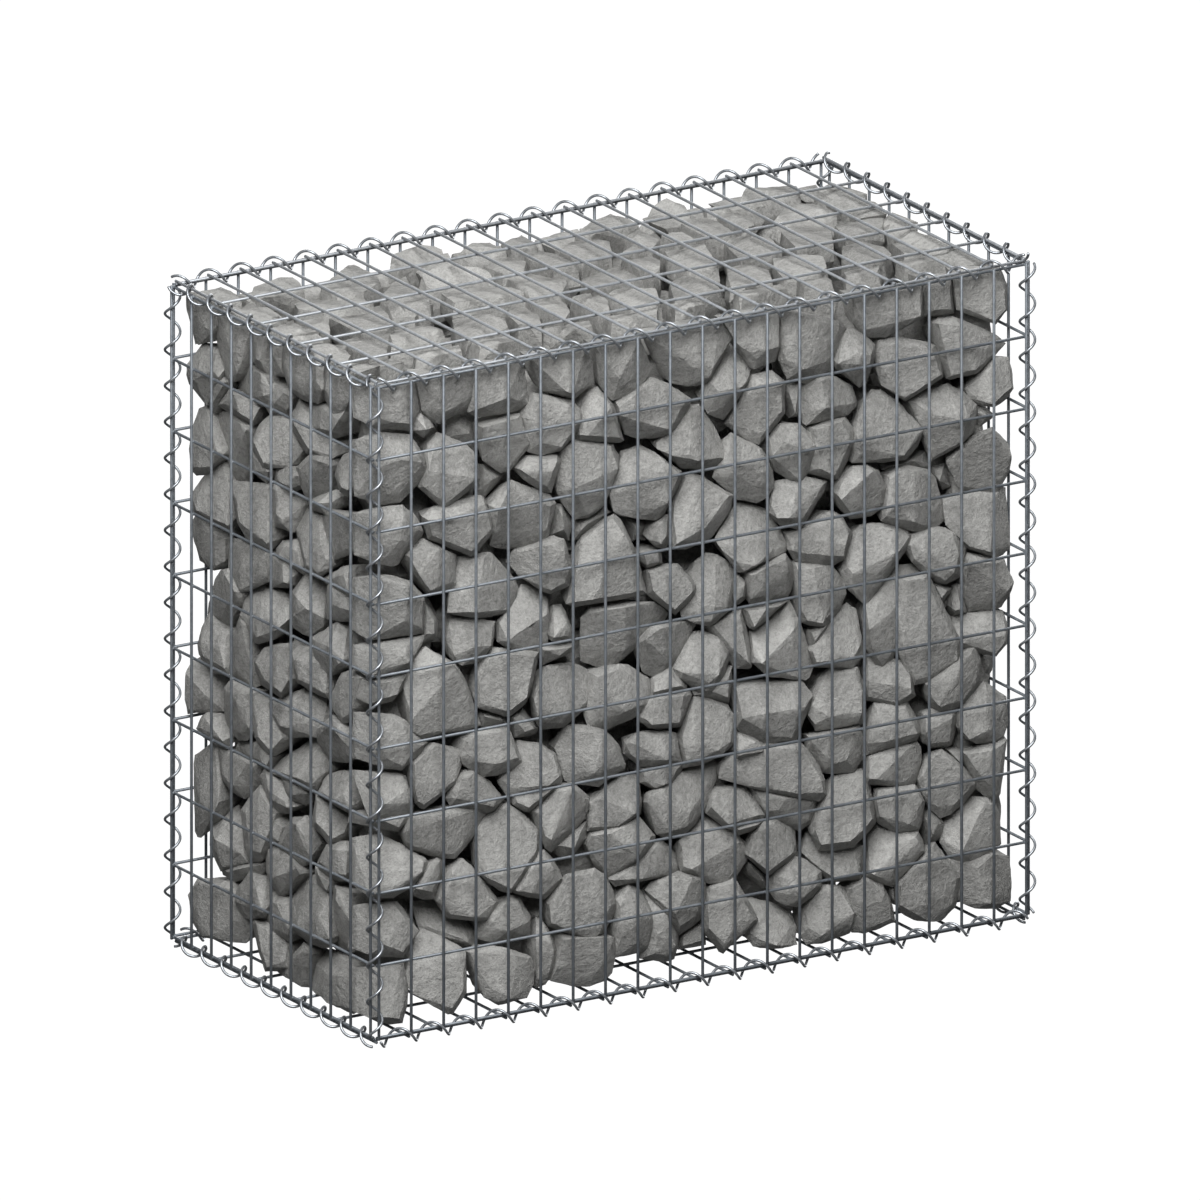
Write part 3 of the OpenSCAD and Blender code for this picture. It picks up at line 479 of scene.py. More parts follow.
@.8 55.1,33.4 55.6,33.6 58.6,31.7 60.1,30.4 60.2,29 55,28.8 54.6,31; 55.5,32.8 58.2,31.2 59.4,29.6 55.5,29.6
@.1 62.9,58.9 64.6,58.8 66.6,60.2 68,61 70,61.2 71.6,60.3 72.3,58.9 73.2,57.5 72.9,56 72,53.9 70.2,53.3 67.6,53.8 64,55.1 62.9,57; 65,58.2,.3 67,60 71.2,60 72.6,57.5 71.8,54.5,.2 69.8,54.9,.1 66.4,55.7 63.9,56.6,.6 70.2,53.8,1.2 66.2,54.6,1.2
@.2 64,55.2 66,54.8 68.2,54.2 70,53.7 71.3,52 72.1,50.8 72.3,49.2 71.5,47.4 70.2,46.2 68.9,45 66.2,45.8 65.1,46.5 64.5,49 64.1,52; 64.7,53.8 68,53.7,.2 70.8,51.8 70.1,49.8,.1 69.8,48.2 68.6,45.7 66.2,46.5 65.3,48 65,51.5 71.9,50,1.1
@.4 73.1,57.6 74.2,58.5 76,58.5 79.9,57.8 81.6,56.9 82.6,55.4 82.1,54.3 80,52.4 78.3,50.6 77,48.9 75.7,47.3 74.8,47.3 73.4,48.6 71.9,50.2 71.2,52.4 72,54.6; 73.8,57.4 76,57.6,.3 79.7,56.8 80,55.3,.1 77.2,51.2,.2 74.8,51.2,.2 72.4,52.8 82,55.5,1 79.2,52.2,1.1 75.4,48,1.1 73,49.8,1
78.5,64.5 80,65.3 81.6,65.6 84.6,64.5 86.2,63 86.3,61 86.9,59.6 87.7,57 86.2,55.7 84,55.8 82.4,56 80,57.4 77.4,58.3 78,60 78.3,63; 78.9,64 81.5,65 84.6,63.6,.3 86.2,60,.4 87,57.1,.9 84.4,58.3,.1 79.6,60.1,.1 86,56.3,1.2 78.2,58.8,1.3
@.2 81.1,54.2 82.2,56 84.9,56.4 86.6,56.2 88.9,55.4 89.9,54.4 90.9,52.5 90.6,50 90.1,48.5 87.6,47.8 86.2,48.2 85,50 83.6,50.9 82.2,51.8; 82,54.3 84.8,55.6,.4 86.6,55.6 88.7,54.7,.1 85.8,52.1,0 82.6,52.3,.6 89.7,51.6,.4 88.9,49.2,.8 86,51.3,.4 87.5,48.4,1.3 85.5,49.6,1.3
@.1 86.9,60.4 90,60 92,59.5 94.5,59 95.5,59.2 96.4,60 97.6,59.8 98.4,58.4 98.7,54.3 98.2,51.1 96.4,50.4 95.2,50.2 91,52 90.2,54 89,55.2 87.4,56.1 87.8,58; 87.9,59.4,.6 90,59.5,.4 94.9,58.5,.3 95.1,56.4,0 93.4,54.4,0 88.6,56.5,.6 97.9,58.4,.8 98.1,54.4,1 97.8,51.6,1.1 95.2,50.8,1.1 91.2,52.5,1 90.6,54.8,.4
@.2 91,51.8 95.2,50.4 96.7,49.9 98.7,46.3 97.4,44.5 96.2,43.2 94.9,43.1 91,43.4 90.2,46 90.2,48.6; 91.2,51,.9 90.8,49.6,.3 95.6,49.5,.1 98.2,46.4 95.6,43.8,.4 91.3,44.1 90.8,46
@.7 88.6,43.4 91,43.5 94.9,43.2 96.4,43 97.2,40.9 97.1,38 95.4,36.5 93,37.7 90,38.3 88.9,40.3 88.2,42; 89,42.7,.6 95,42.6,.2 96.8,40.8 96.8,38.4 95.3,37 92.6,38.6,.2 90,39.4
@1.7 88.9,47.7 90,47.6 90.5,45 91,43.3 88.6,43.2 88.2,44.6; 89.4,46.6 90,44 89,44
@1.7 85.4,48.8 86.6,48.3 88.6,47.3 88.4,46.5 87.1,45.4 86.5,45.3 85.3,46.6; 86,47.9 87.8,47 87,46
@.1 80.3,50.1 84.8,50.1 85.5,48.8 86.7,46 87.7,43.8 88.8,41.2 90,39.8 90,37 88,36 85.2,34.9 82.7,34.7 81.6,36.4 80.8,38.5 80,40.2 79.6,44; 81.8,49.4 84.6,49.4 86.4,45 88,41.3,.5 85.4,40.2,.1 81,40.4,.2 80.3,44,.5 89.5,39.4,.9 89.4,37.1,1.1 85.2,35.6,1 82.9,35.4,1.1
@.3 78.2,51 79.6,52 81.3,51.9 84,51.6 84.9,50.4 81.5,49.8 80.2,46 80,42 79.3,38.5 77.8,38.2 76.5,38.8 75.1,41 74.9,45 75,47.8 76.4,49; 79.8,51.5,.7 83.4,51.1,1 79.7,49.8,.2 77.2,49.4,.5 79.6,42,.2 79.2,39.6 76.2,40.8 75.5,44.6 77.2,47,.1
@.2 66.4,42.3 67.8,44.2 69.9,46.6 71,47.6 72.3,48.1 73.8,47 74.1,45.4 74.7,43 75,40.2 74,39.1 73.4,38.6 70.5,39.1 67.2,39.9; 67,42.1 70.2,46,.5 72.3,47,.3 73.6,45.2,.3 74.3,41.6 73.4,40.3 67.6,40.5 69.4,43.8,.1
@1.2 66,45.7 68.8,44.9 69.9,46.2 69.4,44 67,41.8 66,43; 66.8,44.8 69,45.2 67.4,43.4
@.1 66.2,34.6 67.3,36.8 68.8,39.2 69.6,39.6 72.9,39 74,38.9 74.9,36.8 75.1,34 74.9,30.8 72.5,30.6 70,30.9 67.4,31 66.2,33.4; 66.9,34.8 68.8,38.5 73.5,38.2 74.7,35.4 74.7,32.3,.3 72.2,32.8,.1 69.6,32.6,.1 67.4,31.9,.9 67.8,34 71,35.4,0 70,31.5,1.2 74,31,1.3
@.2 75.2,41 76.6,40.2 78,38.6 80.2,38.5 81,38.6 82.5,36.6 82.9,33.2 80.4,32 78,32.8 75.2,33.9 74.9,37; 75.7,39.8,.7 78.3,38.2 80.9,38 82.1,36 82.3,33.7 80,32.7 75.6,34.4 75.6,37.7 78.9,35.5,0 80.4,36.6,.1
@.1 84.2,34.9 86.8,36.2 88.4,37 90,37.6 91,38.8 92.3,38.9 93.1,36.2 93,34 92.3,32.5 90.2,30.7 88,29.9 86.5,30.1 85.2,31.3 84.5,33; 84.8,34.4 89.6,36.8,.3 91.3,38.1,.7 92.6,36 92.3,33.4 90.2,31.4 86.8,31 85.5,32.4 90,34,0 87.6,34,0
@3 92.4,38.2 95.2,36.7 94.8,34.8 94.2,34 93,34.2 92.8,36; 93.4,37 94.2,35.4
@.8 -1.5,31 5,30.8 4.9,29.4 3.2,28 .4,28.9 -1.5,29.7; .4,30.2 4.4,30.2 3.1,28.7
@.2 4.7,30.4 9.9,30.5 15,30.4 16.9,29.8 17.2,28.9 15.6,27.1 15,25.8 13.6,24.3 11.8,22.8 9.2,23.3 5.9,24.7 4,25.6 3.7,26.4 3.3,27.7; 5.2,29.7 16.4,29.3 14.5,26.2 11.7,23.5 9.8,24.9,.2 5.6,25.5,.6 4.2,26.5,.9 10,28.6,0 4.3,28 7,24.5,1.3
14.9,26.4 16.2,28.4 18.5,29.2 19.9,29.4 22.4,27.4 25,24.8 25.1,23 24.6,20.6 23.1,18.6 20.5,16.5 18.5,17.2 16.8,18.6 15.2,20.3 15,22.8; 15.5,26.2 18.6,28.5 20.2,28.7 24.5,24.4 24.4,21.8 20.5,17.2 17,19.2 16.5,23.4,.1 15.7,24.8,.5 21.2,26.7,0 15.4,21.6,1.1
@.8 10.1,31.6 12.1,33.5 13.1,35.2 14.6,35.1 15.4,34.3 17.3,32.7 19,30.4 19.3,29.8 18,28.4 16.5,28.2 14,29.2 11,30.2; 12.8,33.8 14.6,34.2 16.6,32.6,.2 18.4,30.2 17.8,29 12,31.2
@.9 20.2,31 28.4,31 26.5,29.1 25,28.2 23.2,27.2 22.2,27.6 20.6,28.8; 21,30 27.2,30.2,.4 24.8,28.7 23.2,28 21.4,29
@.1 23.7,27.4 25.2,28.5 26.5,29.6 27.8,30.5 30,30.4 32.7,28 32.9,26.8 32.3,25.1 30,23.7 27,22.3 26.6,21.1 25.6,21.9 25.2,23.6 24.7,25; 24.6,27.1 27.6,29.6 30.2,29.4 32.2,27.3 31.7,25.7,.4 27.3,22.5,.6 25.7,23.6,.5 27.6,26.4,0
@1.5 26.6,21.6 28,22.8 30,23.7 32.4,25 32.3,22.4 30.4,20.4 28,20.1; 27.6,22 30,23.2 31.4,23.6 30.2,21.2
@.1 -1.5,28.6 .3,28.3 2.8,26.9 4.6,25.1 7.2,23.9 7.8,23.2 7.3,21.5 5.4,20.2 3.9,19.6 2.2,19 -1.5,19.7; .3,27.5 4.2,25,.2 7,23.3 6.8,21.9 4.9,20.6,.7 1.5,20,.5 .1,20.4 1.5,23.3,0
@.9 7.7,23.6 9,23.8 9.9,23.3 10,21.5 9,19.2 8.5,17.8 6.8,18 4.8,19.1 5.4,20.3 7,21.5; 8,22.9 9.4,22.9 9.5,21.3 8.2,18.9,.2 5.7,19.8 7.3,21.3
@.2 9,17.4 9.2,19.3 10.5,20.8 11.2,21.6 13,22.8 14.4,21.6 15.1,20.7 16.5,18.9 18.6,16 18.4,15.2 17.3,13.3 15,13.6 11,14.6 10.1,15.2; 9.7,18,.9 11.4,20.9,.9 13.1,22.1,.8 10.8,17.6,.2 12.4,19.9,.1 15,19.6,.1 16.8,17.6,.2 18.1,15.8 13.4,15.8,.2 15.4,16.7,0 16.8,13.9,.9 14,14.3,1.1 11.1,15.3,1
@2.2 4.8,18.4 8.6,17.8 10.1,15 14.1,13.6 14.8,12.6 14.9,10.2 13,10.2 10.8,11.2 6.2,13.8 5.6,15.8; 6,17.4 8.7,16.8 9.6,14.4 7.2,14.4 13.6,12.6 13.8,10.9
@.4 -1.5,19.1 .2,19 2.8,18.7 3.8,17.4 4.9,15.6 6.3,13.9 5,12.3 3.8,10.5 .4,11.2 -1.5,11.8; .2,18.4 2.6,18 4.3,15.7,.3 .9,12.8,.1 5.7,13.9,1 3.8,11.3,1.2 1.5,12,1
4,8.1 4.6,10.4 5.5,13.1 6.6,14.3 7.5,14.1 10.3,12.2 12.8,10.6 13.6,9.8 13.7,6.5 13.7,4 11.5,1.4 10.6,1.5 7,4 5.1,5.3 4.4,6.4; 4.9,8.8 5.5,10.4 6.9,13.4 12.4,10 13.1,6.3,.2 13.2,4.5,.7 11.4,2.2,1.1 5.6,5.8,.8 6,10,.2 12,8,0 6.4,6.6,.2
@.2 -1.5,10.2 .2,10.2 3.9,10.1 4.3,8.3 4.7,6 4.5,3.9 3.7,1.5 1.6,1.6 .1,2.2 -1.5,3.1; .2,9.6 3.5,9.6 4,7 3.9,4.2 3.2,2.2 .2,3 3.2,6.2,.1
@.1 13.4,9.8 14.6,10.6 17,10.1 20,9.2 23.7,7.4 24.2,6 24,3.4 22.9,1.7 20,1.4 18.4,1.3 16.2,2.9 14.8,6.3; 14,9.6 17.2,9.5,.5 23.2,7.1,.2 22.7,5,.3 20.2,6.3,0 17.1,4.1,.4 15.5,6.6,.3 18.2,1.9,1.1 22.5,2.2,1.2 23.6,6,.9
@.8 15,13.4 17.4,14.2 18.6,15.2 20,16.8 21.8,16 23.6,13 23.6,10.2 21,10 17.6,10.2 15.1,11.2; 15.8,12.6,1.2 17.7,13.2 19.5,15.4 21.6,15.2 23.1,12.2 20.2,11.4,.1 18.5,12,.3
@.2 20.7,16.6 22,18 23.6,20.2 24.8,21.8 25.6,21.9 27,20.4 28.7,17.2 26.9,15.6 25.6,14.8 23,15.5; 21.4,16.7 23.6,19.4 25,20.9 26.2,20.3 28.1,17.3 25.5,15.6 24.9,17.4,0
@.8 23.7,10.3 24.2,12.8 25.2,12.2 26.2,10.8 27.2,9.2 27.9,7.7 27.1,4.3 25.8,3 24.2,2.8 23.9,5 23.8,8; 24.2,10 26.8,8.6 27.2,7.4 26.3,4.6 24.5,4
@.1 32.2,27.2 34.9,29 38.2,30.4 40,29.8 40.4,28.3 40.7,26 40.5,24.1 37,22.5 35,22.7 32.1,23.1; 33,27 38.4,29.6 39.9,28.3,.5 35.8,26.6,0 33,25.8,.3 40.1,24.5,.4 37,23.1 32.7,23.6 35.4,24.6,.1
@1.2 31.6,28.4 32.6,28 33.1,26.8 32.9,25.3 31.8,25.3; 32.2,27.6 32.5,26.2
@.7 40.2,30.8 45.2,30.8 47.3,30.2 46.9,29.1 45.4,27.2 42.6,26.8 40.1,28.5; 40.9,30.2 44.9,30 46.4,29.6 45,27.8 42.8,27.3 41,28.6
40.7,25.8 41.3,27.1 45,27.5 46.8,29.1 49.9,29.7 52.3,29.4 52.9,28.6 51.8,26 50.7,23.5 49,21.3 47.5,20.3 44.2,20.1 42.8,20.9 41.6,23.1; 42,26.5 45.2,27 47.4,28.7 51.9,28.8 52.2,28.3 50.4,27.4,.1 46.4,26.4,0 47.8,21.2,.6 45,20.8,.5 44.7,24,.3 41.4,25.6,.6 43.9,21.1,1.2 50,23.8,1
@.1 32,21.2 32.4,23.1 35,23 37,22.8 40.2,24.1 41.5,22.5 42.9,20.8 42.3,19.1 40,17.4 37,16.4 35.4,15.9 34.5,16.3 33,18.4; 32.8,22.5 37,22.2,.2 40,23.2 42.1,20.8 40,18,.4 37.2,16.9 35.5,16.6 33.6,19 32.8,20.8 39.4,19,.1
@.4 35.4,16 38,17 40.3,17.8 42,18.6 42.8,20 43.8,20.1 45.4,18.5 46.8,16.6 46.6,15.2 45.2,14.8 42,14.8 40,14.8 36.4,14.7; 36.4,15.7,1 40.4,17.1,.5 43,19.4 45.2,18.2 46.1,16.2 44.8,15.5,.4 41.8,16.7,.1 41,15.1,1.2
45.9,17.7 46.2,19.6 48.2,20.8 50,22.4 51.6,22.2 54.7,20 57.1,17 57.5,16 56.8,14.7 55,12.7 53.6,12.4 50.8,12.7 50,14.1 46.5,15.2; 46.7,18.7 50.4,21.7,.7 51.3,21.5 54.2,19.5,.3 56.9,16.1,.4 54.9,13.7,.4 50.4,16.6,.1 47.4,17.3,.4 49.9,20,0 53.6,13,1.3 50.6,14,1.2 47,15.8,1.1
@.5 50.4,22.5 51.4,25.5 52,26 54.8,26 56.6,25.5 58.1,23 59.8,20.8 59.4,20.1 55,19.2 53.5,19.8 51.6,21.7; 51.3,23.3 52.3,25.3 56.2,24.9 58.8,20.9 54,20.4,.2
@.8 55,20 57,20 59.5,20 58,18.8 55.4,18.5; 55.6,19.4 58.4,19.6
52.8,29 54.7,30 56,31.2 60,30.8 63,30.2 65,30.2 66.8,28.5 67.8,27 69.1,24 69.3,21.8 68,21.1 65,21.8 60,24 57,25 55,25.8 52.4,27 52.5,28.4; 53.5,28.6,.4 56,30.2,.6 60,29.9,.3 64.4,29 66.5,27.6 68.4,24 68.7,22.3,.5 65,22.7 60,24.6 56.8,26,.3 55.2,27,.2 53,27.5,1.2 61,28,0
@1.2 56.9,25.4 60,24.4 65,22.4 67.8,21.5 67.7,20.8 66.9,18.3 65,17.5 62.9,19.3 61,20.5 59.6,20.4 58,22.9; 58.4,24 66.8,21.3 66.4,18.8 65,18.4 62.6,21,.1 59.8,21.2
@.2 56.5,15.6 57.5,17.7 57.9,19 59.5,20.2 61.8,20.5 62.8,20.1 64.3,18.3 64.5,16 64.5,14.5 63.6,13.8 60.2,12 59.7,12 58.4,13.6; 57.2,15.4 58.3,18.4,.1 61.8,19.8 63.9,18 64,14.8 60.3,12.8 58.4,16.8,.1
@1.7 56.8,15 57.6,14.9 60,12.2 59.9,10.7 59.2,10.6 57,12.9; 57.6,14 59.4,11.6
@.2 60.2,11.8 60.9,12.8 64.2,14.5 66,13.6 68.5,11.5 68.5,10.2 68.4,9.3 67,8 64.5,7 62.9,7.6 61.2,8.6 60.1,10.2; 60.9,11.7 64.2,13.8 67.9,11.2 62.2,11.8,0 67.6,9.5,.7 64.6,7.7,.8 61.9,8.7,.7 60.8,10 66,10.6,0
@1.1 65.2,14.6 65.8,17.5 67,17.4 67.4,15.2 70,14.5 73.4,14.3 74.8,14 74.9,10 74.4,9.2 70,9.6 68.4,10.8 67.2,12.4; 66.2,16 69.2,13.2 73.6,13.2 74.2,10 70.4,10.2 68.4,11.6
@.1 25.6,14.4 28.7,18 29.6,18 33.4,18.1 34.9,16.9 35.5,16 36.2,14.5 36.7,12.4 36.5,10.9 35.2,10 34.7,8.4 33.2,7.5 32.3,7.5 30.5,8.5 28.2,9.7 26,11.1 25.6,12.8; 26.3,14 29,17.3 33.2,17.3 34.9,15.9 36,12.4 35,10.8,.3 34.2,8.7,.8 33,8,.9 26.6,11.4 30,10.4,.2 29.2,13.6,0 34,13.6,0
@.1 26.9,4.4 27.4,6.6 28.2,9.8 29.2,9.1 32.4,7.6 33.2,7.6 34.8,8.6 36.4,8 36.7,6.9 36.6,4.8 36.1,2.9 34.8,1.9 32.6,.9 32,1 30,2 28.4,2.7 26.4,3.4; 27.5,5 28.4,8.9 32.8,7.1,.3 35.3,8,.2 36.1,7 35,4.9,.2 33.2,3.1,.2 30.2,3.6,.2 27.6,4.6,.2 32.4,1.5,1.3 28.4,3.2,1.3 36,3.8,1.1 32,5.5,0
@.3 36.1,10.4 36.5,13.1 38.3,15 40.3,14.1 42.6,10.5 42.7,7.4 41.9,5.1 39.9,5.1 36.5,4.8 36.4,7.4; 37.2,12 38.6,14.3 39.4,13.8 40.7,10.4,.1 40,6.5,.1 37.5,8,.2 42,7.4,.8 41.4,5.7,.9 36.9,5.5,1.3 42,10.2,.9
@.9 40.4,14.1 41.2,14 44.9,11 46.3,7.2 46.4,4.9 45.7,3.1 44,3 40.2,4.1 40,5.4 42,5.5 42.8,9.6; 41.2,13 44.6,9.4,.1 45.9,5 45,3.7,.8 42.6,4.5,.7 43.4,8.8,.3
@.1 41,13.6 41.9,14.7 45.5,14.8 46.6,15.4 48,15.2 50.6,13.9 50.8,10 50.1,8.1 47.6,6.8 46.3,6.2 45.5,8 45.1,9.2 44.5,11; 42,13.9,.7 45.3,14.1 46.8,14.8 50,13.3 50.1,9.9,.4 48.8,8.5,.3 46.5,7.6,.4 46,8.9 45.5,12.4,.1 46.5,6.8,1.2 48,11.5,0
@2.6 46.4,6.5 49.2,8 50.4,7.6 50.6,4.3 46.2,4.3; 47,6 50,7 50,5 47,4.8
@.1 50.4,12 51.1,12.9 54.7,13 55.5,12.4 57.5,9 58.8,6.4 56.4,4.9 55,3.8 53.2,2.6 52.4,3 50.2,6.3 50.2,9.6; 51.2,12 54.8,12.2 57.3,7.9,.1 54.9,6,.1 53.4,4,.4 51,6.5 50.8,9.6 58.2,6.4,.8 56.3,5.3,1 53.4,3.1,1.2
@.6 56.2,9.9 57.6,9.8 59.8,9 62.3,7.6 63.8,7 64.5,4.6 64.7,1.9 62.2,1.2 60,2.1 57.7,2.8 56.5,4.3 58.5,6.4; 57,9.2 58.4,9 63.2,6.4 63.3,4.3 61.4,3.4,.1 58.8,3.6,.1 57.4,4.7 62.4,1.8,1.3 64,2.3,1.3 60,6.5,0
@.2 65.3,6.6 66.7,9 69.3,9.6 71.4,9.2 72.1,8.7 74.2,4.8 72.8,2.1 71,1.7 68.4,1.2 66,1.6 65.1,3; 66,6.6 67.4,8.4 70.8,8.7 71.7,7.9 73.4,4.8,.2 70.4,4,.1 68.4,2.5,.3 66.3,4,.2 68.6,1.7,1.3 73,3,1.3
@.2 66,30.8 74.4,30.8 75,28.4 75,26.1 73.4,24.2 72.2,24.4 70,24.6 68.5,25 67.5,27 66,28.4; 66.8,30 73.3,30 73.6,28.9 73,27.8,.1 72.3,26.2,.1 70.3,26,.2 68.4,28.5,.1 66.9,29.4 73.3,24.9,1.2 69,25.4,1.2 74.5,26.7,1.1
@.3 75.2,30.6 76.4,33.6 78,33.1 80.2,32.3 81.7,32.8 83.3,30.2 83.9,28.2 83.1,26.9 80.2,26.7 77,26.5 75.2,26.3 75,28.6; 75.8,30 76.8,32.6 80.2,31.6,.3 81.4,31.8 82.3,29.9,.3 83.3,28 80.2,28,.1 78.2,27.7,.1 75.5,28 83,27.4,1.1 76,26.9,1.2
@.6 83.8,30.8 85.2,31.4 88.8,30.4 89.5,29.4 89.1,27 88.5,25.4 87.2,25.2 85.3,25.5 83.9,26.6; 84.4,30 88.7,29.7,.3 88.2,26,.3 85.4,26.2 84.5,27.4
@.2 89.3,30 90.1,31.4 92,32.5 93.4,33.6 95.2,32.4 97,30.8 97.7,29.9 98,28.8 97.3,26.8 96.7,25.3 95.2,24.5 92.2,25 90.1,26.2 89.1,27.8; 90,29.9 93.2,32.8,.6 95.2,31.8 96.9,30 95.8,26.9,.3 94.9,26.7,.1 91.2,25.8 89.9,27.4 95,28.2,0 97.5,28.8,1 95.4,25,1.1
@.4 75.3,26.4 77,26.7 80.2,27 83,27.2 83.8,26.1 84,24.4 83.4,22.4 82.9,20.9 81.8,20.6 80,21 78.6,21.4 76.8,21.9 75.3,22.2; 75.9,25.8 82.8,26.4 83.2,24.5 82.8,22.4 81,21.6 79,23.4,.1 77.4,22.6 75.7,23
69.3,22 69.8,24.5 72.4,24.6 73.4,24.4 74.6,24.8 75.4,24.1 75.6,22.4 76.4,20.2 77.1,17.4 76.8,16.6 75.3,15.3 73.4,13.9 70.2,13.9 67.8,14.3 66.7,16.8 66.8,18 68.1,20.3; 70,22 70.2,23.8 73.4,23.7 74.9,23.4 75.6,20 76.3,17.4 75,16 72.8,14.9 68.3,15.1 67.4,17.2 68.9,20.2 72,19,0
@.2 76.2,20 76.3,21.8 79.8,21.4 82.9,21.1 83.7,20 84.5,18.4 83.8,15 83.4,14.4 81,14.1 79.8,14.6 77.3,16.4 76.7,17.3; 76.8,19.8 77,21.2 82.9,20.3 84,18.6 82,15.6,.1 79.8,17,0 77.4,17.5,.1 83.2,15,1 80.4,14.9,1.2
@.1 83.1,21.6 84.1,24.3 85.4,25.2 87,25.4 90,22.8 91.2,21.3 92.4,19.8 92.2,18.7 90.3,16.9 88.3,15.8 86.6,15.6 85.3,16.9 84.1,19; 83.9,22 85.9,24.5 86.6,24.6 88.6,23.2,0 89.8,22.2,.2 91.7,19.3 88.8,17.1,.1 86.2,17.3,.3 84.5,19.4 86.2,20.4,0 86.8,16.3,1.2
@.5 89.9,24.4 92,25 94.9,24.6 96.6,25.5 97.1,24.8 96.6,21.6 96.1,17.5 95.4,16.4 93.9,17.1 92,18.8 91,21.4 90.3,23.2; 90.7,23.8 95.2,23.7,.2 92.2,21.5,.1 96.6,24.4,.8 96,21,.6 95.4,17.5,.8 94.8,20,.3
@1.6 86.8,25.5 88.2,25.5 90.2,24.9 90.5,22.5 89.8,22.2 87.6,24.3; 87.8,25 89.8,24.3 89.7,23
@.2 75.3,15.5 76.8,16.8 78.8,15.6 79.8,14.8 81,14.4 83.4,14.5 84.1,13.2 84.7,11.4 82.1,9.5 80.2,7.9 79.4,7.2 77.6,8 75.2,9.6; 76,15.2 77,16 79.8,13.9,0 83,13.8,.2 83.4,13,.2 84,11.6,.8 80.2,13,0 79.8,10.4,.1 79,8.1,.8 75.8,10 75.9,13.8,.3
@1.5 83.7,14.8 84.8,17.2 85.4,17 86.8,16 87.6,14.6 87,13.1 85.8,12.5 84.3,12; 84.6,15.8 86.4,15 85.6,13.6
@.2 86.9,15.2 89.9,16.8 91.5,18.1 93.9,17.5 95.3,16.5 96,14.4 96.2,10.5 95.4,9.7 92.3,8.2 90,9 88,10 86.5,12.3; 87.4,14.9,.7 91.7,17.3,.6 94.8,16.2 91,14.1,0 95.3,10.5 92.2,9,.9 87.4,12.3 88.6,10.5,.8 91.4,11,.1
79.7,7.8 82.1,9.8 84.3,11.6 85.9,12.7 87.6,10.1 90,7 89.8,4.5 89.1,2.9 86.9,.9 85.2,.5 82.5,2.1 79.8,4.2; 80.6,7.4 85.6,11.8,.7 87,9.8,.2 89.3,6.9 88.6,3.5,.5 85.2,1.5,.8 82,3.7,.3 80.5,4.7,.4 85.3,9,.1 85.2,4,0
@.1 87.6,10 89.9,9.4 92.4,8.4 95.4,10 97.4,8.6 98.4,4.9 97.7,2.3 95.2,1.4 92,2.2 90.1,3.2 89.1,4.5 89.7,7; 88.8,9.1,1 90.2,7.4,.3 93.6,5.3,.1 95.2,7.2,.2 95,9.3 97,8.2,.8 97.9,4.9,.9 95.3,2.2,.9 90.4,4.1,.7 92.6,7.8
@.6 71.8,8.5 73.2,9.1 75.2,9.7 77.9,8.2 79,6.2 79.5,4.9 79.9,2.4 77,1.9 75,1.6 73,2.1 72.5,2.9 74,5; 72.9,8.3 75.2,8.9 78.1,6.6,.2 77.6,5.7,.1 75.4,5.6,.1 74.6,5.3,.3 79.2,3,1 75.4,2.3,1 79,5,.8
@2 78.6,8 80,7.8 80.1,4.6 79.2,5; 79.4,7 79.6,5.6
"""
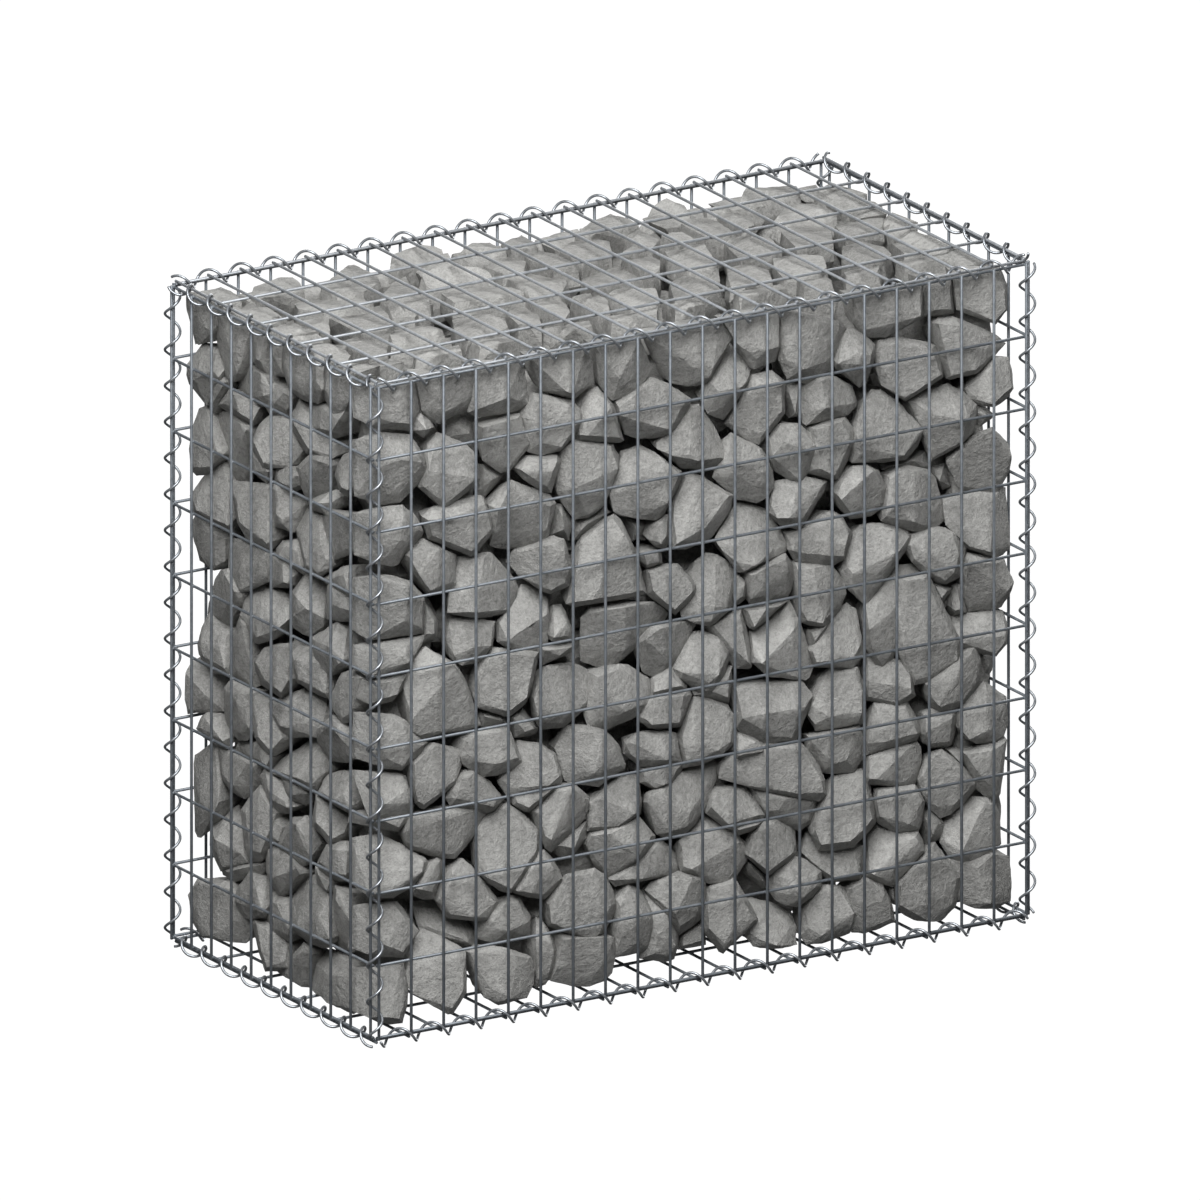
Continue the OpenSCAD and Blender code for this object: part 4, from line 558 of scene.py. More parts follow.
LEFT = """
@.1 4.6,90 12.5,90 13,86.5 12.6,85.2 11,84 10,82.9 8.5,83.3 5.5,86 4.9,88.5; 5.4,89.4 12,89.3 12.2,86.6 10.6,85.2,.3 6.1,86.8 10.2,83.3,1.1
@.1 12.3,85.6 13.4,88.2 15,90 22.6,90 23.4,87.8 22.4,85.4 21.5,83.9 17.5,83.5 14,84; 13,86.2 16.4,88.4,.2 21.8,89.3 22.8,87.4 21,84.5 17.6,84.2
@.6 22.2,85.4 23.4,87.8 23,90 27,90 26.5,87.6 25,84.9; 23.2,86 23.8,88.5 25.8,88
@.4 22.2,84.6 25.5,83.8 30.3,85.3 31,87 30.6,90 26.8,90 25.6,86.6 24,85.2; 26.2,86 27.4,89 30,88.4 29.8,85.9
30.6,90 40,90 40.3,87.4 38.9,84.3 37.4,81.5 36.4,80.5 34.8,81.3 33,82.9 31.1,85.4; 31.4,89.2 38.8,89.2 39.2,87.4,.4 36.8,86.8,.1 34.4,82.6,.3 36.6,81.3,1.1 32,85.8
@.1 39.6,90 47.6,90 48.7,87 48.9,85 48.4,83.7 44,83.9 40,85.5 39.3,87.5; 40.6,89.3 43.6,88.9,.2 47,89.2 48.2,86.8,.8 45.4,85.4,.3 41,86.4 43.4,86.6,.1
@.6 6.5,85.8 10.2,83.6 13,84.6 17.2,83.6 16.5,81 15.8,79.8 14.4,79.9 10,80.2 8.5,81; 9,83.2 13,83.9 16,83.2 15.2,80.6 10.6,81.2
@.6 8,80.6 11.2,80.3 15.8,80.4 18.6,83.8 21.3,80.2 20.8,78.7 17,76.3 11,77 8.9,78.4; 9.6,79.7 16,79.6,.2 18,82.6 20.3,79.6 16.6,77.2 11.4,77.8
@.9 18.3,83.8 21,84.2 26.2,84.2 28.6,80.8 26,78.9 24,81.6 21.6,80; 20,83.2 25.6,83.2 27.3,81.2 21.8,81
17,76.6 20.4,78.9 21,80.4 24,80.6 26.2,79.4 28.7,77.5 31.1,74 30.9,73.3 28,71.2 25.4,71.9 21,73.4 19,74.3; 17.8,76.5 21.2,79.3 26,78.6,.3 30.3,74.3,.4 27.8,72.1 21.4,74.2,.3 24,77.2,0
@.6 24.3,82 25.8,84.2 27.5,84.8 31.2,85 33.5,83 35.6,80.8 34,79.8 28,79.8 26,80.4; 25.4,82.4 27,84.2 31,84.1 34.4,80.8 29.4,80.7,.2
@.4 27.5,80.4 36.2,80.4 38,78.3 39.3,76.9 36,76.5 30,76.5 28.7,77.6; 28.6,79.5 36,79.5,.2 37.9,77.5 30.4,77.2
@.1 37.2,82.6 39,84.8 43,84.6 46.6,81.8 48.1,80.3 48.6,79 48,77.7 42,76 38,80.2; 39.6,83.9 43,83.8 47.2,80.3 47.2,78.9,.8 42.4,78.4,.3 39,80.8 42.6,76.6,1.3
@.9 35.8,80.2 38.4,82 41.6,80.4 42,76 40,75.4 38.8,77.4; 37.4,80.6 40.8,80 40.6,76.8
@.2 5.2,80.4 8,78.8 9.7,76.4 9.9,75.3 8.8,73.4 6.5,73.2 5.4,76; 6.4,79.2 9,76.2 8.2,74.2 6.6,74.2
@.1 9.8,76.8 12,77.6 16.4,76.6 18,75.2 19.6,73.8 18.5,71.3 16.8,70 11,70.2 9.2,73.6; 10.6,76.5 16,76 18.6,73.8,.3 16.6,72.2,.2 10.8,73,.2 16.4,70.6,1 10.6,71.4,.9
@.8 7,73.5 9.4,73.6 11.2,72.8 16.8,70.2 15.8,68.8 12,69.2 9,71 7,72; 8.4,72.8 14.4,70.2 10.6,71.4
@.4 18.6,71.4 19.6,73.8 21,73.6 25.1,72.2 25,70.2 21,69.7; 19.6,72.6 24.2,71.6 24,70.6 20.6,70.5
@.8 25.4,71.8 28.3,71.4 31.2,73.4 31,70 27,69.4; 26.6,71.2 30.2,72.2 29.8,70.4
30.9,73.6 31.1,76 33.6,76.6 37,76.8 40.9,75.4 42,73.8 38.9,72.1 37.5,70 35.8,67.4 32.4,66.6 30.7,68.4; 32,75.5 37,75.9 40.5,74.2 36.4,69.6,.3 33,67.6 31.6,69.4 35,72.6,0
@.1 38.6,72.4 41.6,74 41.8,76.4 44,75.2 46.3,72.7 47.3,71 47.9,68 46.9,65.9 44.6,65.6 41.4,66.6 39.3,69 37.5,70.6; 41.9,75.2 45.5,72.6 46.7,68.8 45.2,66.6 41.2,67.8 39.4,70.4 43.6,73.4,0
@.1 5.6,71.6 11.6,70.4 13.4,68.7 13.6,66.6 11.9,63.7 10,63.4 6.8,65 4.8,66.4 5,68.8; 6.4,70.7 11,69.7 12.7,67 9.8,64.4 7,66 9.8,67.4,0
@.1 13.2,69 17,69 19.7,65.2 18.5,63 17.2,60 14,59.8 11.4,62 10.9,63.6 13,66.2; 13.8,68.2 16.6,68.2 19,65 17,60.9 14,60.7 12,63 14.4,66,0
@.1 16.5,69.6 20,70.4 24.8,70.4 25.6,69.2 25.6,65.2 25,64 20.4,64.4 18.7,66.5 17.1,68.2; 17.8,68.9 21.6,69.4,.1 24.8,69.2 24.7,66,.2 21,66.6,.1 24.6,64.7,.9 20.4,65.1,.9
25.6,69.8 27,69.6 31,67.8 32.6,66.8 34.2,66.2 36.4,67.4 35.1,63.4 34.5,62 32,60.2 26.2,60.2 25.7,62 25.3,65.6; 26.6,69 30.5,67.3 34.7,64.8 33.8,62.2 27,61.1 26.5,64.8 29,65.6,0
@.7 17,60.4 18.6,63 19.4,64 23,62.8 24.7,61.2 25,59.6 17.4,59.4; 18.6,61.7 19.8,63.1 23,61.9 24,60.4 18.4,60.2
@.1 35.2,63.2 36.2,67.2 37.6,69.6 40.4,68.6 42.7,65.9 46.4,62.5 46.2,60 36,60; 36.4,66.3 38,68.7 40,67.7 45.3,61.8 44.8,60.8 36.6,60.9 39.2,64.8,0
@.6 5.2,64.2 7.6,63.6 11.2,61.5 14,59.8 6,59.4; 6.4,63 10.8,60.8 6.6,60.3
@.6 6,60 11.6,60.2 12.2,58.2 11.9,54.8 8.4,55.4 4.8,56.4; 7,59.3 11.2,59.5 11.3,57.4,.2 6.8,57.4 10.8,55.5,1 5.8,56.7,.9
11.7,60.4 16.6,60.6 18.9,57.3 20.7,56.3 21.2,53.6 20.5,51.4 18,51 16.2,51.2 12.3,53 11.8,57; 12.5,59.7 15.6,59 17.4,58 20,56 17.2,54.9,0 20.3,53,.6 18,51.8,.7 12.5,53.8
@.4 17,60.2 20,59.8 21.5,60.3 26.1,60.2 26.8,57.6 25.5,55.4 21.6,56.4 19.5,57.3; 19.6,58.9 21.2,59.4 25.8,59.3 25.8,56.5 21.8,57.1
@.1 26.2,60.2 31,59.8 35,59.8 36.6,59 36.8,55.4 35.9,53 33.8,52.2 32,53 28.6,55.2 26.3,56; 26.9,58.9 31,58.8,.2 35,58.8 33.3,56.1,0 26.9,56.6,.5 36.1,55.6,.9 33.6,52.9,1
@.3 36.5,59.8 42,59.5 44.7,60.5 46.2,58.4 46.5,57 43.9,54 40.2,53.7 36.9,54.8 36.3,57.4; 37.2,59 42,58.6 45.7,57.2 43.4,54.7 39.8,54.4 37.2,55.8 41.4,56.8,.1
@.3 4.8,55.9 9,55.6 12,53.2 13.6,51.8 16.3,51.1 14.9,49 14.1,47 11,47 7.2,49.5 5.6,52; 6.6,54.8 8.6,53,.1 13.8,49.8,.2 13.6,47.8 11,47.9 7.6,50.5
@.1 20.8,54.8 20.9,52.6 22.4,50 24.8,48.4 29,46.6 30,46.4 33.8,49.4 32.8,51.7 31.1,53.5 28.7,55.6 26.4,56 22,55.8; 21.8,54.6 26.4,55.1 28.2,52,0 32.7,50 29.6,47.5 24.6,49.8,.2 22.2,51.6
@.5 31.3,53.1 33.8,52.4 36.6,53 36.8,55.2 38.5,54.4 40.1,52.6 41.4,49.4 41.8,47.3 40.5,46.6 36,46.4 34.3,48.8 32.5,51; 34,51.5 37.6,53.9 40.3,51.2 40.7,47.6 36.2,47.3 34,50.6 37.4,50.4,.1
@.1 3,50 5,50 8.2,48.6 9.6,46.3 11.2,44.2 10.4,42.7 8,41.4 6.5,41.9 4.4,43.2 2,46.4; 3.6,49 6.8,48.3 8.8,47.4 10.3,44.4 8,42.3 5.8,43.6 7.4,46,0
@.5 10.5,50 20,50 21.6,48 21.2,46 19.3,43.9 16.4,43.7 11.3,43.8 10.5,46.2; 11.4,49 20.6,47.8 19,44.6 12.2,44.5 16,47.4,.2
21.3,49.1 23.6,48.4 27.7,46.6 30.6,44 30.1,42.7 28.3,41.2 23,40.6 21.7,42.5 20.5,44 20.9,46.6; 21.8,48.3 25.8,47.4,.3 23.2,44.2,0 29.7,43.9 27.6,42.1 23.4,41.5 21.6,43.6
@.2 33.8,49.2 35.7,46.1 36.6,43.8 35.8,40.4 30,40.2 28.3,41.1 30.1,43.2 30.7,46 32.1,48.5; 33.4,48.4 35.3,45 34.7,41.3 30.4,42.5,.4 32,44.6,.1
@.3 35.9,46.5 38,47 41.4,47.8 43.5,45 44.4,42.4 44.2,41 40.4,39.4 36.5,40.2 35.9,43; 37,45.7 41.6,46.6 43.7,42.8 43,41.1 37.6,40.9 38.8,43.6,0
@.3 10.3,42.6 11.7,44 17.6,43.9 20.1,42.6 23.7,40.6 27.2,39 25.5,36.6 22.6,35.4 18,37.2 14.2,37.8 11.3,40.1; 11.8,42.9 17.4,43 22.2,40.4,.1 23.5,36.9 18,38.4,.2 12.6,40.6
@.1 5,41.7 8,41.4 10.4,42.2 12.9,40.2 14.6,39.1 14.4,37.3 11.2,35.2 6.6,36.4 4,38; 6.2,40.8 10.4,41.4 13.7,38.4 11,36.1 6.6,37.5 9.8,38.8,0
25.4,40.2 28,40.2 30.7,39.7 31.1,37.4 30.1,33.5 28,32 26,31.8 24.3,32.5 22.1,35.2 23.9,37.7; 26,39.5 30,38.9 30.3,37 29.2,33.7 26,32.7 23,35.4 27,36.6,0
@.1 30.6,39.8 36,40 37.8,38.3 37.6,34.6 37,32.7 34,31.8 31.7,32.6 29.9,34; 31.4,39.1 36.7,37.7 36.9,35 34.4,32.7 31.6,34.4 33.6,36.6,0
@.1 36.4,39.8 40.2,38.8 44.6,41.3 46.7,39.8 48.1,38.1 49.8,33.6 49.1,31.9 46.4,31.8 42.6,34 37.6,34.9; 37.6,38.9 44.6,40.1 47.5,37.6 48.9,33.6 46.6,32.7 42.4,35.9,.1 38,35.8
@.8 37.6,35.1 41.6,34.2 43.5,32.8 44.8,30.6 43,29.8 37,29.8 36.3,32.6; 38.2,34.2 42.4,32.6 43.6,31 38,30.7
@.1 5,35.6 8,35.2 12.1,33.4 14.6,29.9 5.4,29.4 4.7,32.6; 6,34.7 8,34.3 13.4,30.6 6.2,30.3 8.4,32.4,0
@.4 11.4,36 14.4,38.2 16.5,35.7 20.9,33 23.4,32.4 26.2,30 25.6,29.6 14.4,29.8 12.1,33.6; 12.4,35.5 15.6,35.9 20.2,32.2,.1 23.2,30.6 15.6,30.9
@.8 24.6,32.5 29,33.2 33.8,32 36.5,30.2 26.2,29.6; 26,31.8 29,32.4 33.6,31 27,30.4
@.1 4.6,29.9 8,29.6 14.7,30 15.6,26.2 15.3,25.2 11.6,23.8 10,23.8 7,26.2 4.8,28; 6,29.1 8.8,28.7,.2 14.5,29.1 14.8,26 10.6,24.8 7.4,26.6
@.6 15.6,30.2 24.2,30.2 23.2,28.3 21.2,27.2 17,27.6 15.7,28.3; 16.4,29.5 22.6,29.5 20.8,28
@.4 22,29.6 27.4,30.2 28.8,28.6 26.7,25 24,24.6 21.4,25.2 20,26.6; 23.4,29.1 27.3,29.3 26,26 22,26
@.1 28.9,30.2 39.4,30 38.9,26.4 38.5,25.2 36,24.2 32.4,24.2 30.8,25.8 27.2,27.6; 30.4,29.2 33.6,29.7,.2 38.3,28.9 37.9,26 35.6,25.1 32,26 35,27.4,0
38.5,29.8 40.6,30 46,27.6 49.4,24.5 49.6,22.6 47.8,20 46.5,17.5 45.6,16.2 44.4,15.6 43.4,15.8 41.6,18 38.3,19.8 37.5,22.4 38.1,25; 40,29.1 45.6,26.9 48.7,23.4 47.4,20.6 44.6,17 40.4,20 39,22 39.8,26,.1 44,22,0
@.2 5.5,24.5 7,25.8 9.6,24.4 12,23.8 14.4,20.6 14,19.5 10.6,19 6.4,19.9; 6.6,24.3 11.6,23.2 13.5,20.8 10.4,20.1 7,20.8
@.1 11.6,23.8 15,25.6 17,26.4 20.9,25 22.3,22.9 24.8,20 20,18.8 18.2,18.4 15.3,20.5; 12.8,23.6 17,25.5 20.4,24.2 23.7,20.4 18.6,19.3 16,20.8 17.6,23.4,0
@.7 22,23.6 24.2,24.6 26.1,23.8 27.2,20 24.4,19.8 22.7,22; 23,23 25,23.1 26.1,20.8 24,20.7
@.3 24.4,24.6 26,25.4 28.6,27.4 31.1,25.2 33.6,22.5 32.8,18 31.5,15.6 28,16.8 26.9,20.4; 26.6,25 28.6,26.3 32.3,22.4 31.4,17.4 28.4,18 27.6,21
@.7 9.8,19.2 14.9,20 14.7,18 11.8,16.4 9.8,18; 11,18.8 14,18.9 12,17.3
31.8,22.2 34,23.2 36,21.8 38,20.2 41.2,18.2 41.4,15.4 41,14.7 38.6,12.4 36,14.2 33.6,15.6 31.7,15.6; 33,22 34.4,21.6,.1 37.2,19.8,.2 40.5,17.4 40,15 38,13.3 34,16 32.7,17
@1 27.7,17.2 31.6,16 34,15.8 38.7,12.9 38,12.2 35,12 31,14.2 27.7,15.2; 28.6,16.2 33,14.6 37,12.9
@.1 4.2,19.8 10.1,18.8 10.3,15.2 10.5,12.4 8.4,10.2 5,10.6 3.6,12 3.6,17; 5.2,18.9 9.6,18.2 9.8,12.6 8,11.1 5.2,11.5 6.4,15.4,0
10.9,17.7 12.4,18.6 14.8,19 16.4,18.2 18.5,16.5 20.8,13.9 21,10 19.6,9.2 16.4,8.6 12,9.2 9.9,10.5 10.5,14; 11.8,17.3 14.4,18.3 16,17.8 20.1,13.8 20.1,10.4 15,9.7,.3 11.2,10.8 14.6,14,0
@.3 17.5,17.7 20,19.8 24.6,20.4 27.5,19.1 27.2,15.6 26.3,14.5 23.8,13 22.6,13.2 20.7,15; 18.6,17.7 20.8,19.3 26.7,18.6 26.4,15.6 23.6,13.9 21.6,15.2 23.4,17,0
@.5 20.9,13.7 23.6,13.2 26.3,13.4 27.2,11 27.2,9.3 26.1,7.4 21,7.4 20.7,10; 21.6,12.7 25.8,11.8,.2 26.1,8.3 21.6,8.5
@.1 26.1,14 27,15.2 31.4,14.6 34,12 35.8,9.4 35.6,7.8 31,7.8 27.1,9.3; 27,13.8 30.8,13.7 34.7,9.4 28,9.7 30.4,11.6,0
3.4,9.5 10.6,9.8 14.5,7.5 15.6,6.6 15.6,1.3 12,1.1 5,2 3.6,3; 4.6,8.9 10.4,9.1 14.6,6.4 10,5.4,.1 7.8,5.8,.1 8.4,3,.5 14.7,2,.8 5,2.8
@.2 15.1,7.9 17.6,8.8 20.1,6.1 21.8,3.6 24.4,1.9 23,1.6 20.6,1 16.4,1.6 15.2,4; 15.8,7.3 17.4,8.1 20.8,3.8,.1 16.4,6,.2 22.4,2.4 20.4,1.8,.6 16.2,2.4
@.2 20.5,7.5 22,7.8 26,9 30.1,8.5 30.6,7.6 29.1,4 27.4,1.4 24.4,2.6 21.6,3.9; 21.6,7.1 29.7,7.9 28.4,4.4 27,2.5 22.4,4.6 26,6,0
@.1 31.3,8.3 34,11 35.4,12.2 40,11 44.4,10 47.4,7.5 47.8,6.2 46.1,3.7 43.2,1.4 36,3.4 32,4.4 30.1,6.8; 32,8.1 35.8,10.9 44,9.4 46.9,7 45.4,4,.5 42.6,5.6,.1 43.2,2.3,.8 32.2,5.3,.8 33,7,.4 40,7.6,0
"""
TOP = """
.5,41.5 .8,47.8 2,48.2 5,48.2 5.3,44 4.2,41
@.1 5.8,42 8.5,45.5 12,48.3 14,48.3 15.2,47 14.8,43.5 13.5,40.5 6,40.5
@.3 .6,31 .6,38 3,39.4 5.4,40.5 5.8,36 5,31
@.1 10.2,39.4 12,39 15,36.6 18.3,34 18.5,31 10.5,31 8.5,34.5
@.6 16,41 20,44 24,47.8 25,47.8 25.2,42 24,38.5 20,36 16.5,37.5
27,41.5 30.5,46.5 31.5,49.3 36,49.5 38.6,49 38.2,46 35.6,41.2
@.1 27.5,31 28,34 30,38.5 33,40 35.5,39.3 38.4,37.5 38.6,35 37,31
@.5 20.6,27 21,33.8 24.4,36.8 27,35 27,31 24.5,26.8
@.2 36.5,41.2 40.3,44.6 43,46.6 45,45.2 45,41
@.5 45.6,41 45.6,43.8 48,45.2 50.2,45.8 50,41.8 49.4,40.4
@.4 39.4,33 38.8,37 40.4,39.8 43.6,39.8 45,36 42.6,32.6
@.2 46,31 45.4,36 45.8,39.8 48.6,39.6 49.9,36.5 50,31
.6,21 .6,30 3.4,29.8 5.4,30 5.4,24 5,21
@.6 6,22 8.5,26 9.6,30 5.8,30
10,21 10,30 14,30.4 18.7,30.2 17.8,26.5 16.4,23.4 15.5,21
@.7 17,24.5 19.5,30 21,31 25,30.6 25.2,27 22,25 20,23.4
26,22 27.5,26 28,30.4 34,30.4 37.6,27.6 38,25 35.8,21.2
@.1 36.8,22 38.9,26.5 38.8,31.4 43.5,31.8 46,30 45,25.5 41.4,21.4
@.1 45.8,21 47,27.5 50,30.2 53.5,30 54,25 55,21
@.2 .6,11.6 .6,20 3.6,20.2 5.6,18 4.4,14 2.6,12
@.1 5.8,12 5.6,16 5.9,20 9,20.2 10.2,18 10,14 8.6,11.6
10.6,12 12,16.5 13.8,20.4 19.8,20.2 20.4,17 18.8,13.4 15.6,11.4
@.1 20.8,12 20.8,15 23.5,20.2 28.8,20.2 30,17 28.4,13.4 24,11.2
@.4 29.8,13.6 30.9,18.6 33.8,20.2 35.4,19 34.4,15.6 32.4,11.6
35.8,11.6 35.7,16 36,20.4 40,20.2 40,17.8 38.6,14.6
@.2 40.9,11.8 41.2,16.5 42,20.2 45.8,20.2 45.6,16.6 43,11.6
45.8,11.2 46.2,15.8 47,20.2 50,20 53.6,17.5 52,14.5 50.6,11.2
@.1 52.6,11.4 54.2,15 56,18.4 59.8,20.4 61,16.8 60.6,12.4 56.8,11
@.1 62,12.6 63.4,15.6 66,20.2 69.6,19.8 70.2,16 68.2,11.8
69.6,11.6 71,16.4 73,20.2 77,20 79.6,17.6 77.6,13.4 75.4,11.2
81.2,11.6 81.4,16.4 83.4,19.6 87,20 88.4,16.6 87.4,13 85.2,11.2
@.4 88.8,12.6 89.6,17 90.8,20.2 95,20.4 96.2,16 94.6,13 91,11.4
@.1 56,42.2 60.5,47 64,48.2 65,47.5 66,44 65.5,41 56,41
66.8,42 70.5,46.4 73.5,49.5 75,49.8 75,45 74,42 66.8,41.2
@.5 75.8,41 76,43 78.5,42.6 79.6,41.8 79,39
81.2,42 85.6,47.4 89.5,50 91.5,48 92,46 90.4,41 81.6,41
@.9 91.4,36.8 91.4,39.4 94.6,39.8 94.2,36.8
@.2 50.6,31 50.6,37.5 54,39.9 57.5,39.8 58.8,37.6 57,34 55.4,31.6
@.1 56.2,31 58,33 60.2,34.2 60.6,31.4
@.9 60.9,35 61,38 64.6,39.8 64.6,34.4 62,32
@.2 65.6,31 65.6,36 67.6,36.5 69,36 68.8,33 68.4,31.4
@.6 70.2,32 70.4,39 74.9,39.6 75.2,36 74.6,31.6
@.2 76,32.6 76,39.8 79.4,39.6 80,36 78.4,33
@.1 81,33 85.6,37.6 88.2,38.6 90.4,36.4 90.6,34 90,31 81,31.4
@.1 91.2,31 91.2,35 95.5,36 97.4,33.6 97,31
@.2 56,22 56,29.8 60,29.8 60.2,27 58,23.6
61,21.4 61,26 62.5,30.2 69,30.4 67.8,27 66.6,24 65.6,21.2
@.1 68.8,21.4 70.6,27 71.2,30.4 75.6,30.4 77.6,27.6 76.2,22.4
78,22 79.6,28.6 80.6,30 85.4,30.2 86,26 83.6,21.6
@.1 85.8,22.6 87,27 88,30 93.6,29.6 94.8,27 92.4,23.6
@.3 1,8 1,10.4 8,10.4 9,8
@.2 10.6,8 11.6,10.4 19,10.6 17.8,8
@.3 20.4,8 20.6,10.6 26.4,10.6 26.6,8
@.2 30.4,8 30.8,10.4 39,10.4 38,8
@.2 40.8,8 41,10.6 49.6,10.4 48,8
@.3 50.6,8 51,10.6 55,10.6 55.4,8
@.3 61,8 61,10.4 69,10.4 68,8
@.2 70.6,8 70.8,10.6 75.4,10.4 75,8
@.4 77,8 78,10.4 84,10.4 82,8
@.2 86,8 86,10.4 94.6,10.4 94.6,8
"""

GAP = 0.0072                        # stones stay this far inside the panels' planes
COIL = 0.0136                       # and this far from a spiral's own axis
IN_LO = Vector((XL + GAP, YF + GAP, Z0 + 0.0006))
IN_HI = Vector((XR - GAP, YB - GAP, Z1 - 0.0004))
EDGES = []
for name in ("spiral_top_front", "spiral_top_back", "spiral_bottom_front", "spiral_bottom_back"):
    a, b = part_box(name)
    EDGES.append((0, (a + b) / 2))
for name in ("spiral_top_left", "spiral_top_right", "spiral_bottom_left", "spiral_bottom_right"):
    a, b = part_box(name)
    EDGES.append((1, (a + b) / 2))
for name in ("spiral_corner_front_left", "spiral_corner_front_right", "spiral_corner_back_left", "spiral_corner_back_right"):
    a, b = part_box(name)
    EDGES.append((2, (a + b) / 2))
MIDDLE = np.array([(X0 + X1) / 2, (YF + YB) / 2, (Z0 + Z1) / 2])


def keep_in(v, slack=0.0):
    """Points moved, where they have to be, off the panels and off the spirals."""
    v = np.clip(v, np.array(IN_LO) + slack, np.array(IN_HI) - slack)
    for ax, c in EDGES:
        i, j = (ax + 1) % 3, (ax + 2) % 3
        c = np.array(c)
        d = v[:, [i, j]] - c[[i, j]]
        r = np.linalg.norm(d, axis=1)
        near = r < COIL + slack
        if near.any():
            inward = np.sign(MIDDLE[[i, j]] - c[[i, j]])
            e = d[near] / np.maximum(r[near], 1e-6)[:, None]
            e = np.where(e * inward < 0.15, inward * 0.35, e)
            e /= np.linalg.norm(e, axis=1)[:, None]
            w = v[near]
            w[:, [i, j]] = c[[i, j]] + e * (COIL + slack)
            v[near] = w
    return v


def place(face, u, v, d):
    """A point on a face, in centimetres, as a point of the frame."""
    u, v, d = u / 100, v / 100, d / 100
    if face == "front":
        return (X0 + u, YF + GAP + d, Z0 + v)
    if face == "back":
        return (X0 + u, YB - GAP - d, Z0 + v)
    if face == "left":
        return (XL + GAP + d, YF + u, Z0 + v)
    if face == "right":
        return (XR - GAP - d, YF + u, Z0 + v)
    if face == "top":
        return (X0 + u, YF + v, Z1 - 0.0004 - d)
    return (X0 + u, YF + v, Z0 + 0.0006 + d)


# the line of sight that the outlines below were read along: the camera's own
SIGHT_AZ, SIGHT_EL = math.radians(-31.57), math.radians(18.1)
SIGHT = (-math.sin(SIGHT_AZ) * math.cos(SIGHT_EL), math.cos(SIGHT_AZ) * math.cos(SIGHT_EL), -math.sin(SIGHT_EL))
CARRY = {
    "front": (SIGHT[0] / SIGHT[1], SIGHT[2] / SIGHT[1], GAP * 100),
    "left": (SIGHT[1] / SIGHT[0], SIGHT[2] / SIGHT[0], GAP * 100),
    "top": (-SIGHT[0] / SIGHT[2], -SIGHT[1] / SIGHT[2], 0.04),
}


def seen(face, u, v, d):
    """A point of a stone: the deeper it is, the further it is carried along the line of sight."""
    a, b, g = CARRY[face]
    return u + a * (d + g), v + b * (d + g)


def rock(soup, pts, rng, fine=0.012, wear=0.0011, rough=0.0012, tone=None):
    """One broken stone: the hull of its corners, its edges worn a little and its faces slightly uneven.

    Each face of the hull keeps points of its own, so that it is shaded flat up to its edges."""
    tone = rng.random() if tone is None else tone
    pts = keep_in(np.array(pts, float), 0.0012)
    keep = []
    for p in pts:
        if all(np.linalg.norm(p - q) > 0.0045 for q in keep):
            keep.append(p)
    bm = bmesh.new()
    for p in keep:
        bm.verts.new(p)
    bmesh.ops.convex_hull(bm, input=list(bm.verts))
    loose = [x for x in bm.verts if not x.link_faces]
    bmesh.ops.delete(bm, geom=loose, context="VERTS")
    bmesh.ops.dissolve_limit(bm, angle_limit=math.radians(4), verts=list(bm.verts), edges=list(bm.edges))
    facet = bm.faces.layers.int.new("facet")
    for n, f in enumerate(bm.faces):
        f[facet] = n
    bmesh.ops.triangulate(bm, faces=list(bm.faces))
    for _ in range(5):
        long = [e for e in bm.edges if (e.verts[0].co - e.verts[1].co).length > fine]
        if not long or not fine:
            break
        bmesh.ops.subdivide_edges(bm, edges=long, cuts=1)
        bmesh.ops.triangulate(bm, faces=[f for f in bm.faces if len(f.verts) > 3])
    bm.normal_update()
    off = Vector((rng.random() * 40, rng.random() * 40, rng.random() * 40))
    moved = []
    for x in bm.verts:
        h = 0.0
        if rough:
            h = noise.noise(x.co * 26 + off) * rough * 0.45 + noise.noise(x.co * 62 + off) * rough * 0.6 - rough * 0.3
            if len({f[facet] for f in x.link_faces}) > 1:
                h -= wear * (0.15 + abs(noise.noise(x.co * 60 - off)) * 1.7)
        moved.append(x.co + x.normal * h)
    bm.verts.index_update()
    moved = keep_in(np.array(moved))
    at, out, faces = {}, [], []
    for f in bm.faces:
        q = []
        for x in f.verts:
            key = (x.index, f[facet])
            if key not in at:
                at[key] = len(out)
                out.append(moved[x.index])
            q.append(at[key])
        faces.append(q)
    soup.add(np.array(out), faces, tone)
    bm.free()


def back_points(face, outline, d0, rng, thick=6.2):
    """The hidden back of a stone: its outline again, smaller and deeper."""
    c = np.mean(outline, axis=0)
    out = []
    for k, (u, v) in enumerate(outline):
        if k % 2 and len(outline) > 6:
            continue
        s = rng.uniform(0.72, 0.88)
        bu, bv = c[0] + (u - c[0]) * s, c[1] + (v - c[1]) * s
        if face != "top" and v > 88.5:
            bv = rng.uniform(88.6, 89.7)
        if face == "front" and u < 3.2:
            bu = -0.2
        out.append(place(face, bu, bv, d0 + thick * rng.uniform(0.88, 1.15)))
    return out


DEEP = {"front": (2.0, 3.2), "left": (1.3, 2.3)}


